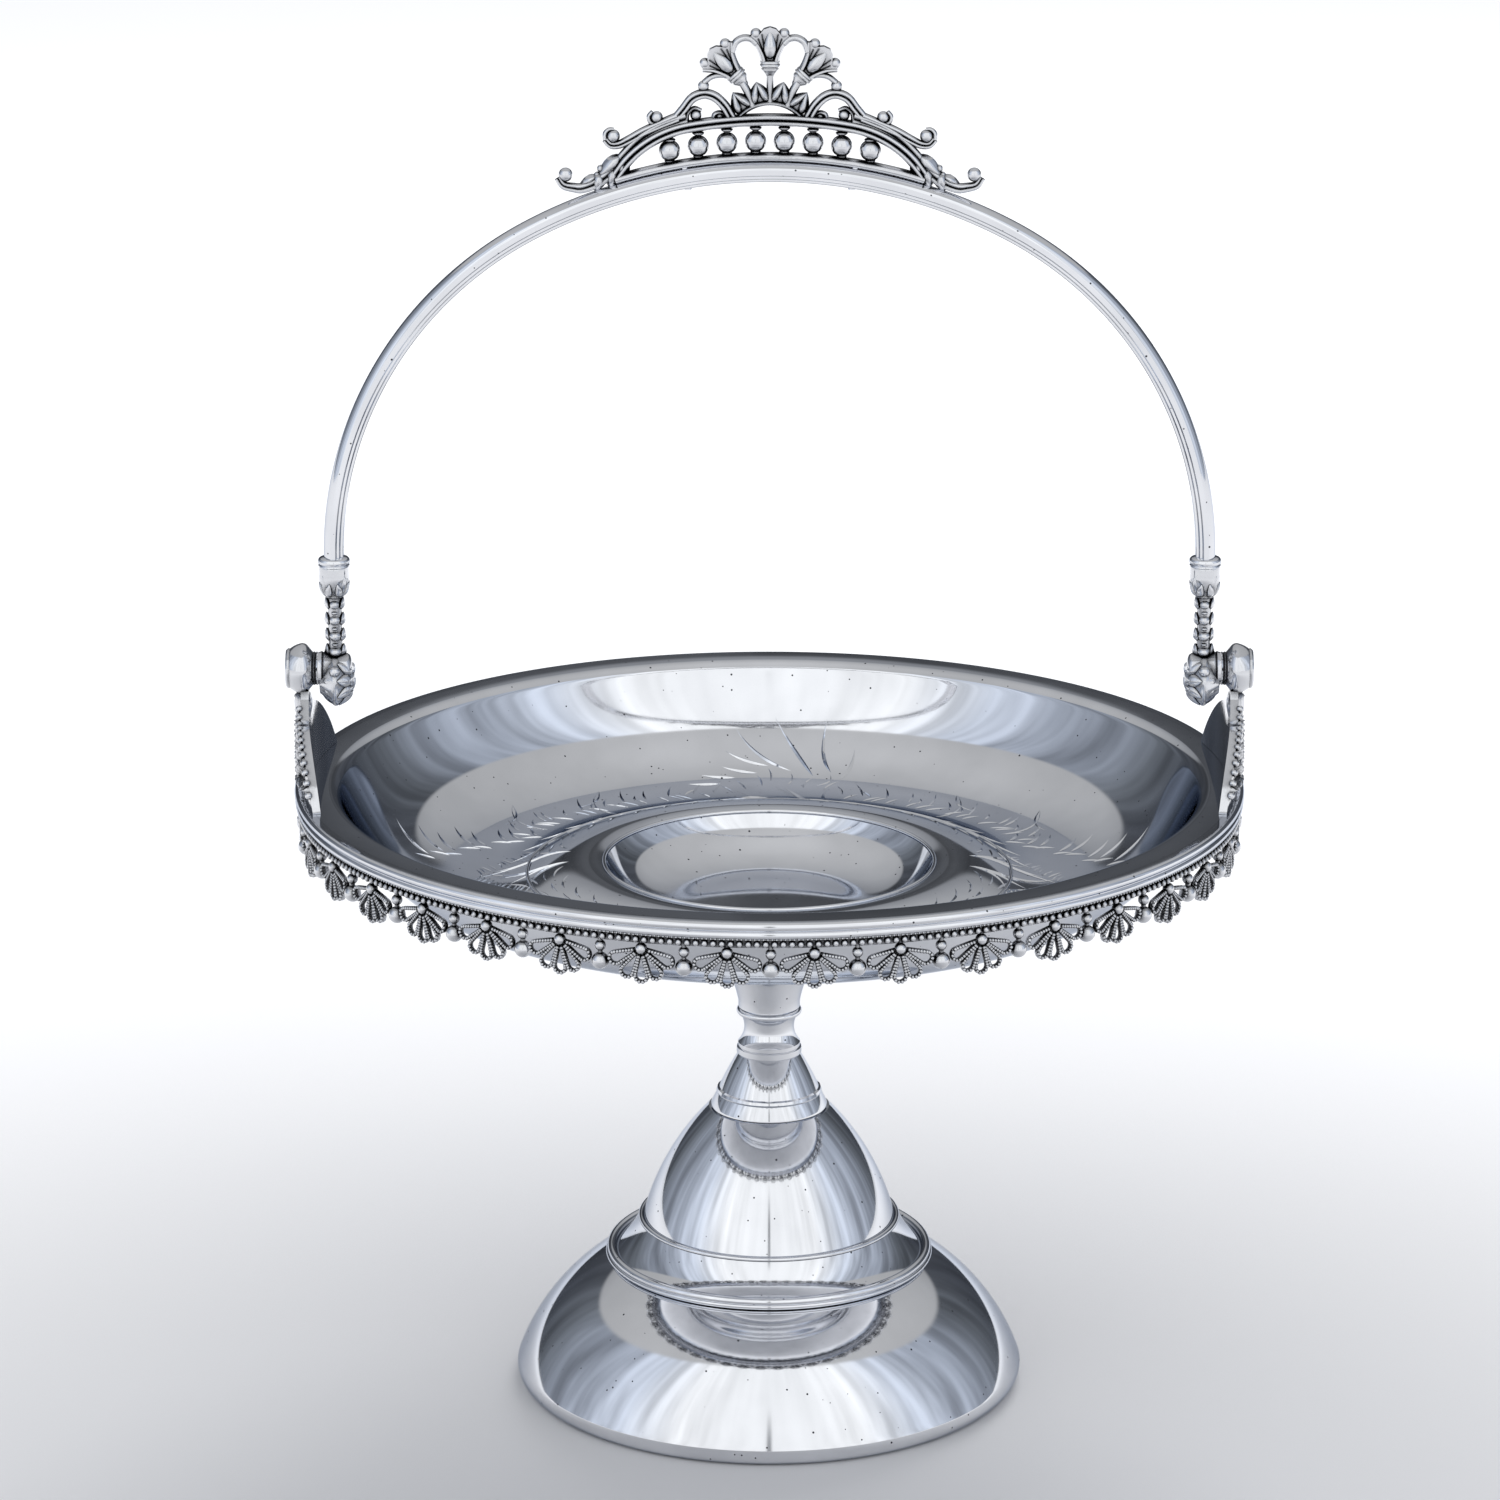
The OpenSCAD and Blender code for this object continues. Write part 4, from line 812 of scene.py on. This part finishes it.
def hinge_drop(other_side):
    """The casting with its knuckle, a strap of buds and a leafy tulip cup, and the collar on top of it."""
    bm = bmesh.new()
    # The knuckle's body hangs a little below the pin that it turns on
    knuckle = [(0, 104.2), (1.3, 104.3), (2.4, 104.7), (3.3, 105.4), (5.0, 107.0), (6.2, 108.2)]
    knuckle += [(6.75, 108.9), (6.85, 109.3), (6.7, 109.7), (6.1, 110.4)]
    knuckle += [(4.4, 112.2), (3.6, 113.2), (0, 113.2)]
    add_turned(bm, knuckle, 64, Matrix.Translation((0, 0, -KNUCKLE_DROP)) @ HINGE_LINE)
    eye_r = PIN_R + JOINT_GAP
    eye = [(eye_r, 105.1), (2.4, 105.1), (3.5, 105.7), (3.9, 106.4), (4.2, 111.6), (4.4, 112.0)]
    eye += [(4.1, 112.35), (4.4, 112.7), (4.2, 113.2), (4.1, 113.6), (eye_r, 113.6)]
    add_turned(bm, eye, 48, HINGE_LINE)
    # Leaves lie round both sides of the knuckle
    for i in range(KNUCKLE_LEAVES):
        turn = Matrix.Rotation(i * 2 * math.pi / KNUCKLE_LEAVES, 4, "X")
        for x, lean in ((105.0, 47), (112.6, 133)):
            leaf = Matrix.Translation((0, 0, PIVOT_Z - KNUCKLE_DROP)) @ turn @ Matrix.Translation((x, 0, 2.9))
            stamp(bm, LOBE, leaf @ tilted(lean) @ Matrix.Diagonal((5.2, 3.0, 1.5, 1)))
    # Buds run up the strap over the knuckle, with leaf tips at its edges
    wire(bm, [Vector((LEG_X, PIVOT_Z + 2)), Vector((LEG_X, PIVOT_Z + 20))], 3.5, 3.6)
    for i in range(4):
        z = PIVOT_Z + 4.6 + 4.1 * i
        size = 1.06 - 0.06 * i
        stamp(bm, BALL, place_at((LEG_X, 0, z), (1.75 * size, 2.75 * size, 1.6)))
        stamp(bm, BALL, place_at((LEG_X, 0, z + 2), (1.15, 2.3, 0.7)))
        for aside in (-1, 1):
            stamp(bm, LOBE, Matrix.Translation((LEG_X + aside * 1.35, 0, z - 1.6))
                  @ tilted(90 - aside * 12) @ Matrix.Diagonal((3.7, 2.8, 1.7 * size, 1)))
    for y in (-5.6, 5.6):
        ball(bm, (LEG_X, y, PIVOT_Z + 0.6), 1.35)
    # The cup, with three leaf tips at each of its four corners
    cup_foot = PIVOT_Z + 19
    collar_h = 2.5
    collar_foot = SPRING_Z - JOINT_GAP - collar_h
    cup_top = collar_foot - JOINT_GAP
    cup = [(0, cup_foot - 0.4), (2.1, cup_foot - 0.4), (2.45, cup_foot), (2.35, cup_foot + 0.5)]
    cup += arc((2.35, cup_foot + 0.5), (3.75, cup_top - 1.6), 7, 12)
    cup += [(3.8, cup_top - 0.6), (3.7, cup_top), (0, cup_top)]
    add_turned(bm, cup, 64, Matrix.Translation((LEG_X, 0, 0)))
    for k in range(4):
        turn = Matrix.Rotation((k + 0.5) * math.pi / 2, 4, "Z")
        root = Matrix.Translation((LEG_X, 0, cup_foot + 0.2)) @ turn @ Matrix.Translation((2.35, 0, 0))
        for aside, length in ((0, 5.8), (-0.5, 4.2), (0.5, 4.2)):
            fan = Matrix.Rotation(aside, 4, "X")
            stamp(bm, LOBE, root @ fan @ tilted(76) @ Matrix.Diagonal((length, 2.4, 1.5, 1)))
    side = "left" if other_side else "right"
    keep(bm, f"drop_{side}_cast", "handle", "cast_silver", [f"hinge_drop_{side}"], 45, other_side)

    bore_r = 2.3
    collar = [(bore_r, 0), (3.8, 0), (3.95, 0.2), (3.9, 0.4), (3.65, 0.55)]
    collar += arc(collar[-1], (3.1, collar_h - 0.1), 1.05, 14)
    collar += [(2.95, collar_h), (bore_r, collar_h)]
    bm = bmesh.new()
    lathe(bm, collar, 64, Matrix.Translation((LEG_X, 0, collar_foot)))
    keep(bm, f"collar_{side}_turned", "handle", "polished_silver", [f"collar_{side}"], 40, other_side)


# Handle

def bow():
    """The bow: a rounded back and two small steps on the inner side, drawn round its three arcs."""
    back = [(p.x, p.y) for p in round_arc((-0.9, 0), 3.4, -61.9, 61.9, 16)]
    corners = [(-0.55, 3), (-0.7, 2.85), (-0.75, 2.4), (-0.9, 2.25), (-1.45, 2.25), (-1.6, 2.1)]
    corners += [(-1.65, 1.65), (-1.8, 1.5), (-2.3, 1.5), (-2.5, 1.25)]
    section = back + corners + [(a, -b) for a, b in corners[::-1]]
    middle = Vector((0, SPRING_Z - CROWN_DROP))
    haunch = Vector((LEG_X - HAUNCH_R, SPRING_Z))
    crown_start = 90 - math.degrees(CROWN_HALF_ANGLE)
    right = [Vector((LEG_X, SPRING_Z - 6))] + round_arc(haunch, HAUNCH_R, 0, crown_start, 60)
    top = round_arc(middle, CROWN_R, crown_start, 90, 26)[1:]
    half = right + top
    path = half + [Vector((-p.x, p.y)) for p in half[-2::-1]]
    bm = sweep(path, [(-a, b) for a, b in section])
    keep(bm, "bow_drawn", "handle", "polished_silver", ["handle_bow"], 30)


# Crest, with places measured from the crown of the bow

RAIL_CENTRE = (0, -128.96)
RAIL_R = 130.1
RAIL_TOP_R = 131.2
ARCH_CENTRE = (0, -105.7)
ARCH_R = 116
ARCH_SIDE_CENTRE = (15.1, -17.99)
ARCH_SIDE_R = 27
ARCH_TURN = 80.23
BALL_STEP = 7.05


def rail_top(x):
    """Height of the lower rail's top."""
    return RAIL_CENTRE[1] + math.sqrt(RAIL_TOP_R ** 2 - x * x)


def arch_height(x):
    """Height of the arched rail's middle, over the balls."""
    if x < 19.7:
        return ARCH_CENTRE[1] + math.sqrt(ARCH_R ** 2 - x * x)
    return ARCH_SIDE_CENTRE[1] + math.sqrt(ARCH_SIDE_R ** 2 - (x - ARCH_SIDE_CENTRE[0]) ** 2)


def flower():
    """A tulip on a ringed collar, seen from the front and pointing up: a ridged petal between two wings."""
    bm = bmesh.new()
    collar = [(0, -2.2), (0.75, -2.2), (1.1, -1.4), (2.0, -0.3), (2.15, 0), (2.0, 0.3), (2.05, 0.5)]
    collar += [(2.45, 0.7), (2.5, 1.0), (2.3, 1.3), (2.45, 1.5), (2.4, 1.9), (1.9, 2.2), (0, 2.2)]
    add_turned(bm, collar, 32, Matrix.Diagonal((1, 0.78, 1, 1)))
    web = [(1.3, 1.6), (1.9, 3.6), (3.1, 6.0), (4.9, 8.0), (4.2, 8.8), (2.7, 8.5), (1.5, 9.9), (0, 10.4)]
    join(bm, plate(web + [(-u, v) for u, v in web[-2::-1]], 2.2))
    flat_lobe(bm, (0, 1.8), 90, 8.8, 4.0, 4.2)
    for side in (-1, 1):
        edge = flowing([(side * u, v) for u, v in web[:4]], 5)
        wire(bm, edge, 1.7, 3.0, 0.85, sides=10)
        for u, v in ((2.9, 7.6), (2.0, 8.7)):
            wire(bm, [Vector((side * 0.9, 2.4)), Vector((side * u, v))], 0.8, 3.0, 0.9, sides=8)
        ball(bm, (side * 3.45, 0, 8.7), 1.35)
    return kept_mesh("flower", bm)


def crest_side(bm, blossom):
    """The right-hand half of the crest, without what stands in the middle."""
    arch = round_arc(ARCH_CENTRE, ARCH_R, 90, ARCH_TURN, 14)
    arch += round_arc(ARCH_SIDE_CENTRE, ARCH_SIDE_R, ARCH_TURN, 31, 18)[1:]
    wire(bm, arch, 2.8, 4.0, ridged=True)
    rail = round_arc(RAIL_CENTRE, RAIL_R, 90, 73, 22)
    wire(bm, rail, 2.2, 4.4, sides=14)
    # Balls between the rails, each on a rod with a small disc at both ends
    for i in range(4):
        x = (i + 0.5) * BALL_STEP
        low = rail_top(x)
        ball(bm, (x, 0, low + 2.75), 2.65)
        wire(bm, [Vector((x, low - 1)), Vector((x, arch_height(x)))], 1.6, 1.6)
        stamp(bm, BALL, place_at((x, 0, arch_height(x) - 2.0), (1.5, 1.5, 0.6)))
        stamp(bm, BALL, place_at((x, 0, low + 0.15), (1.3, 1.3, 0.45)))
    # Tail: a bar that curls under its bead, with leaves hanging at its root
    root = flowing([(20.5, 10.6), (26.5, 8.6), (31.6, 5.4), (35.4, 1.6), (38.0, -1.6), (41.0, -4.2)], 6)
    wire(bm, root, 3.4, 2.8, 0.8, ridged=True)
    tail = flowing([(38.2, -2.2), (42, -5.0), (46, -6.7), (48.6, -6.6), (50.9, -6.0), (52.2, -4.2)], 6)
    wire(bm, tail, 2.8, 3.2, 0.6, ridged=True)
    ball(bm, (50.3, 0, -3.4), 1.75)
    flat_lobe(bm, (36.4, 1.6), -44, 8.6, 3.2, 4.0)
    flat_lobe(bm, (38.4, -1.4), -80, 5.6, 3.1, 4.2)
    flat_lobe(bm, (41.6, -2.9), -74, 5.0, 3.0, 4.0)
    flat_lobe(bm, (36.6, 0.4), -96, 5.4, 3.2, 3.4)
    flat_lobe(bm, (42.4, -3.6), -28, 5.2, 2.0, 3.0)
    for x, h in ((41.6, -1.9), (42.4, -3.6)):
        ball(bm, (x, 0, h), 1.0, BEAD)
    # Upper scroll along the arch, and the bud that stands on it
    scroll = [(22.6, 10.9), (26.5, 9.3), (31, 7.3), (34.8, 5.2), (37.2, 4.1), (39.2, 4.1), (40.5, 5.4)]
    wire(bm, flowing(scroll, 6), 2.4, 3.0, 0.7, ridged=True)
    wire(bm, flowing([(40.5, 5.4), (40.5, 6.9), (39.5, 7.9), (38.3, 7.9)], 5), 1.35, 2.2, 0.6)
    ball(bm, (38.5, 0, 6.2), 1.65)
    wire(bm, flowing([(24.6, 9.9), (26.9, 9.3), (29.1, 9.5), (29.8, 11.0), (28.9, 12.3)], 5), 1.4, 2.4, 0.7)
    ball(bm, (27.8, 0, 10.9), 1.5)
    # Hoop, with two curls inside it and a bead on its top
    hoop = [(9.4, 10.8), (11.0, 13.6), (13.4, 15.9), (16.2, 16.7), (19.1, 15.6), (21.2, 13.0), (23.1, 10.7)]
    wire(bm, flowing(hoop, 6), 2.4, 3.1, 0.9, ridged=True)
    wire(bm, flowing([(20.4, 9.2), (20.3, 11.6), (18.7, 13.2), (16.8, 12.6)], 5), 1.3, 2.3, 0.7)
    ball(bm, (18.2, 0, 11.4), 1.4)
    wire(bm, flowing([(13.9, 10.2), (13.6, 11.6), (12.2, 12.1), (10.8, 11.4)], 5), 1.3, 2.3, 0.8)
    ball(bm, (12.3, 0, 11.0), 1.0)
    ball(bm, (16.3, 0, 18.6), 1.4)
    # Half-moon ring with its leaves, each edged like a chevron
    moon = Vector((0, 4.5))
    wire(bm, round_arc(moon, 10.0, 90, 38, 12), 1.3, 2.7)
    for lean in (12.5, 36):
        axis = Matrix.Rotation(math.radians(90 - lean), 2)
        tip = moon + axis @ Vector((15.2, 0))
        flat_lobe(bm, moon + axis @ Vector((9.6, 0)), 90 - lean, 5.4, 4.2, 1.8)
        for aside in (-1, 1):
            foot = moon + axis @ Vector((10.0, aside * 1.9))
            towards = tip - foot
            flat_lobe(bm, foot, math.degrees(math.atan2(towards.y, towards.x)), 5.9, 2.4, 3.5)
    # Side flower on its stem, and the bar that ties it to the hoop
    wire(bm, flowing([(4.2, 13.6), (5.4, 17.0), (6.9, 19.6)], 5), 2.0, 2.6)
    stamp(bm, blossom, Matrix.Translation((7.4, 0, 20.4)) @ tilted(-44))
    wire(bm, flowing([(9.2, 20.7), (11.6, 21.4), (14.2, 21.0), (16.2, 19.5)], 5), 1.7, 2.6, 0.85)
    # Wings of the two flowers run together over the opening between them
    wire(bm, flowing([(3.4, 29.2), (4.7, 30.3), (6.6, 30.5), (8.4, 29.4), (9.3, 27.2)], 6), 1.8, 2.8)


def crest():
    """The crest: two mirrored halves, with a stem and a flower in the middle."""
    bm = bmesh.new()
    blossom = flower()
    crest_side(bm, blossom)
    mirrored(bm)
    wire(bm, [Vector((0, 14.4)), Vector((0, 21.4))], 1.9, 2.5, 0.85)
    stamp(bm, blossom, Matrix.Translation((0, 0, 22.9)))
    bmesh.ops.translate(bm, vec=(0, 0, CROWN_Z), verts=bm.verts)
    keep(bm, "crest_cast", "handle", "cast_silver", ["crest"], 50)


# Studio

def floor():
    """A pale table: its colour and its glow give the light ground, and it keeps the basket's shadow from the
    lamp; its glow carries a painted shadow under the basket and a painted shade pool before it.
    """
    bm = bmesh.new()
    bmesh.ops.create_grid(bm, x_segments=1, y_segments=1, size=6)
    mesh = kept_mesh("table", bm)
    material = bpy.data.materials.new("table paper with painted shade")
    material.use_nodes = True
    tree = material.node_tree
    tree.nodes.remove(tree.nodes["Principled BSDF"])
    light = add_node(tree, "LightPath").outputs
    looked_at = add_node(tree, "Math", {0: light["Is Camera Ray"], 1: light["Is Glossy Ray"]},
                         operation="MAXIMUM")
    seen = add_node(tree, "Math", {0: looked_at.outputs["Value"], 1: light["Is Transmission Ray"]},
                    operation="MAXIMUM")
    # Seen by the camera and in reflections the paper glows nearly white, dimmed to grey in a wide painted
    # shade pool before the basket
    place = add_node(tree, "TexCoord").outputs["Object"]
    away = add_node(tree, "VectorMath", {0: place}, {1: (0, -0.25, 0)}, operation="DISTANCE")
    glow_outside_painted_pool = add_node(tree, "MapRange", {"Value": away.outputs["Value"]},
                           {"From Min": 0.1, "From Max": 0.72, "To Min": 0.07, "To Max": TABLE_GLOW},
                           interpolation_type="SMOOTHSTEP")
    # Painted shadow: the glow is dimmed where the basket hides the sky from the table
    open_sky = add_node(tree, "AmbientOcclusion", None, {"Distance": 0.3}, samples=4).outputs["AO"]
    shade = add_node(tree, "Math", {0: glow_outside_painted_pool.outputs["Result"], 1: open_sky}, operation="MULTIPLY")
    glow = add_node(tree, "Math", {0: seen.outputs["Value"], 1: shade.outputs["Value"]}, operation="MULTIPLY")
    white = add_node(tree, "Emission", {"Strength": glow.outputs["Value"]}, {"Color": (1, 1, 1, 1)})
    paper = add_node(tree, "BsdfDiffuse", None, {"Color": linear("#d4d4d6")})
    both = add_node(tree, "AddShader", {0: paper.outputs["BSDF"], 1: white.outputs["Emission"]})
    tree.links.new(both.outputs["Shader"], tree.nodes["Material Output"].inputs["Surface"])
    mesh.materials.append(material)
    table = bpy.data.objects.new("table", mesh)
    scene.collection.objects.link(table)


def light_tent():
    """A tent lit from the front: its sides fall off in folds to a dark back, under a grey ceiling."""
    world = bpy.data.worlds.new("light tent")
    scene.world = world
    world.use_nodes = True
    tree = world.node_tree
    towards = add_node(tree, "TexCoord").outputs["Generated"]
    axes = add_node(tree, "SeparateXYZ", {"Vector": towards}).outputs
    front = add_node(tree, "Math", {0: axes["Y"]}, {1: -1}, operation="MULTIPLY")
    azimuth = add_node(tree, "Math", {0: axes["X"], 1: front.outputs["Value"]}, operation="ARCTAN2")
    aside = add_node(tree, "Math", {0: azimuth.outputs["Value"]}, operation="ABSOLUTE")
    # Level round the walls, from the front at 0 to the back at 1
    round_walls = add_node(tree, "Math", {0: aside.outputs["Value"]}, {1: math.pi}, operation="DIVIDE")
    walls = add_node(tree, "ValToRGB", {"Fac": round_walls.outputs["Value"]})
    set_stops(walls, ((0.24, "#fbfdff"), (0.39, "#ccd4e1"), (0.5, "#b0b8c6"), (0.62, "#8c939f"),
                      (0.73, "#646970"), (0.85, "#46494f"), (0.93, "#4a4c50"), (1, "#5d5e60")))
    # Folds: soft upright streaks
    spot = add_node(tree, "CombineXYZ", {"X": azimuth.outputs["Value"], "Y": axes["Z"]})
    drape = add_node(tree, "Mapping", {"Vector": spot.outputs["Vector"]}, {"Scale": (6.5, 0.8, 1)})
    folds = add_node(tree, "TexNoise", {"Vector": drape.outputs["Vector"]}, {"Scale": 1, "Detail": 3})
    depth = add_node(tree, "MapRange", {"Value": folds.outputs["Fac"]},
                     {"From Min": 0.34, "From Max": 0.66, "To Min": 0.62, "To Max": 1.4})
    drawn = add_node(tree, "MapRange", {"Value": aside.outputs["Value"]},
                     {"From Min": 0.3, "From Max": 1.4, "To Min": 0.12, "To Max": 1})
    folded = add_node(tree, "Mix", {"Factor": drawn.outputs["Result"], "A": walls.outputs["Color"],
                                    "B": depth.outputs["Result"]}, None,
                      data_type="RGBA", blend_type="MULTIPLY")
    # A dark slit below the lens, only as high as the lens stands
    slit = add_node(tree, "MapRange", {"Value": aside.outputs["Value"]},
                    {"From Min": 0.006, "From Max": 0.03, "To Min": 1, "To Max": 0},
                    interpolation_type="SMOOTHSTEP")
    low = add_node(tree, "MapRange", {"Value": axes["Z"]},
                   {"From Min": 0.35, "From Max": 0.7, "To Min": 0.75, "To Max": 0},
                   interpolation_type="SMOOTHSTEP")
    dark = add_node(tree, "Math", {0: slit.outputs["Result"], 1: low.outputs["Result"]}, operation="MULTIPLY")
    wall = add_node(tree, "Mix", {"Factor": dark.outputs["Value"], "A": folded.outputs["Result"]},
                    {"B": linear("#50545c")}, data_type="RGBA")
    # Grey ceiling with a clean edge: it comes far down at the back, and darkens there
    overhead = add_node(tree, "VectorMath", {0: towards}, {1: (0, 0.375, 0.927)}, operation="DOT_PRODUCT")
    grey = add_node(tree, "MapRange", {"Value": overhead.outputs["Value"]},
                    {"From Min": 0.655, "From Max": 0.682}, interpolation_type="SMOOTHSTEP")
    ceiling = add_node(tree, "ValToRGB", {"Fac": axes["Z"]})
    set_stops(ceiling, ((0.2, "#4e4f51"), (0.27, "#7d7e80"), (0.34, "#97989a"), (0.42, "#a5a6a8"),
                        (0.5, "#afb0b2"), (0.64, "#b3b4b6"), (0.87, "#babbbd"), (1, "#c4c5c7")))
    tent = add_node(tree, "Mix", {"Factor": grey.outputs["Result"], "A": wall.outputs["Result"],
                                  "B": ceiling.outputs["Color"]}, None, data_type="RGBA")
    tree.links.new(tent.outputs["Result"], tree.nodes["Background"].inputs["Color"])
    tree.nodes["Background"].inputs["Strength"].default_value = TENT_LEVEL


def lamp():
    """A soft box behind and above, so that the basket's shadow falls towards the camera."""
    data = bpy.data.lights.new("soft box", "AREA")
    data.size = 0.8
    data.energy = LAMP_WATTS
    box = bpy.data.objects.new("soft box", data)
    box.visible_glossy = False
    box.location = (0.35, 1.35, 1.35)
    aim = Vector((0, 0.15, 0)) - box.location
    box.rotation_euler = aim.to_track_quat("-Z", "Y").to_euler()
    scene.collection.objects.link(box)


def camera():
    """The view of the photograph, as fitted to it."""
    data = bpy.data.cameras.new("camera")
    data.sensor_width = 36
    data.lens = 148.4
    look_down = 0.2868
    eye = bpy.data.objects.new("camera", data)
    eye.location = (-0.0049, -1.5, 0.611)
    eye.rotation_euler = (math.pi / 2 - look_down, 0, 0)
    scene.collection.objects.link(eye)
    scene.camera = eye


foot_bell()
dome()
stem()
dish()
engraving()
rim_reeds()
border()
for other_side in (False, True):
    ear(other_side)
    hinge_drop(other_side)
bow()
crest()
# Four nodes are shown as the CAD has them, each in its slot's metal
for name in ("tie_bolt", "tie_washer", "tie_nut", "crest_pegs"):
    node_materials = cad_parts[name].data.materials
    node_materials.clear()
    node_materials.append(METALS["bolt_steel" if name.startswith("tie_") else "polished_silver"])
for mesh in (BALL, BEAD, LOBE):
    bpy.data.meshes.remove(mesh)
floor()
light_tent()
lamp()
camera()
scene.view_settings.view_transform = "Standard"
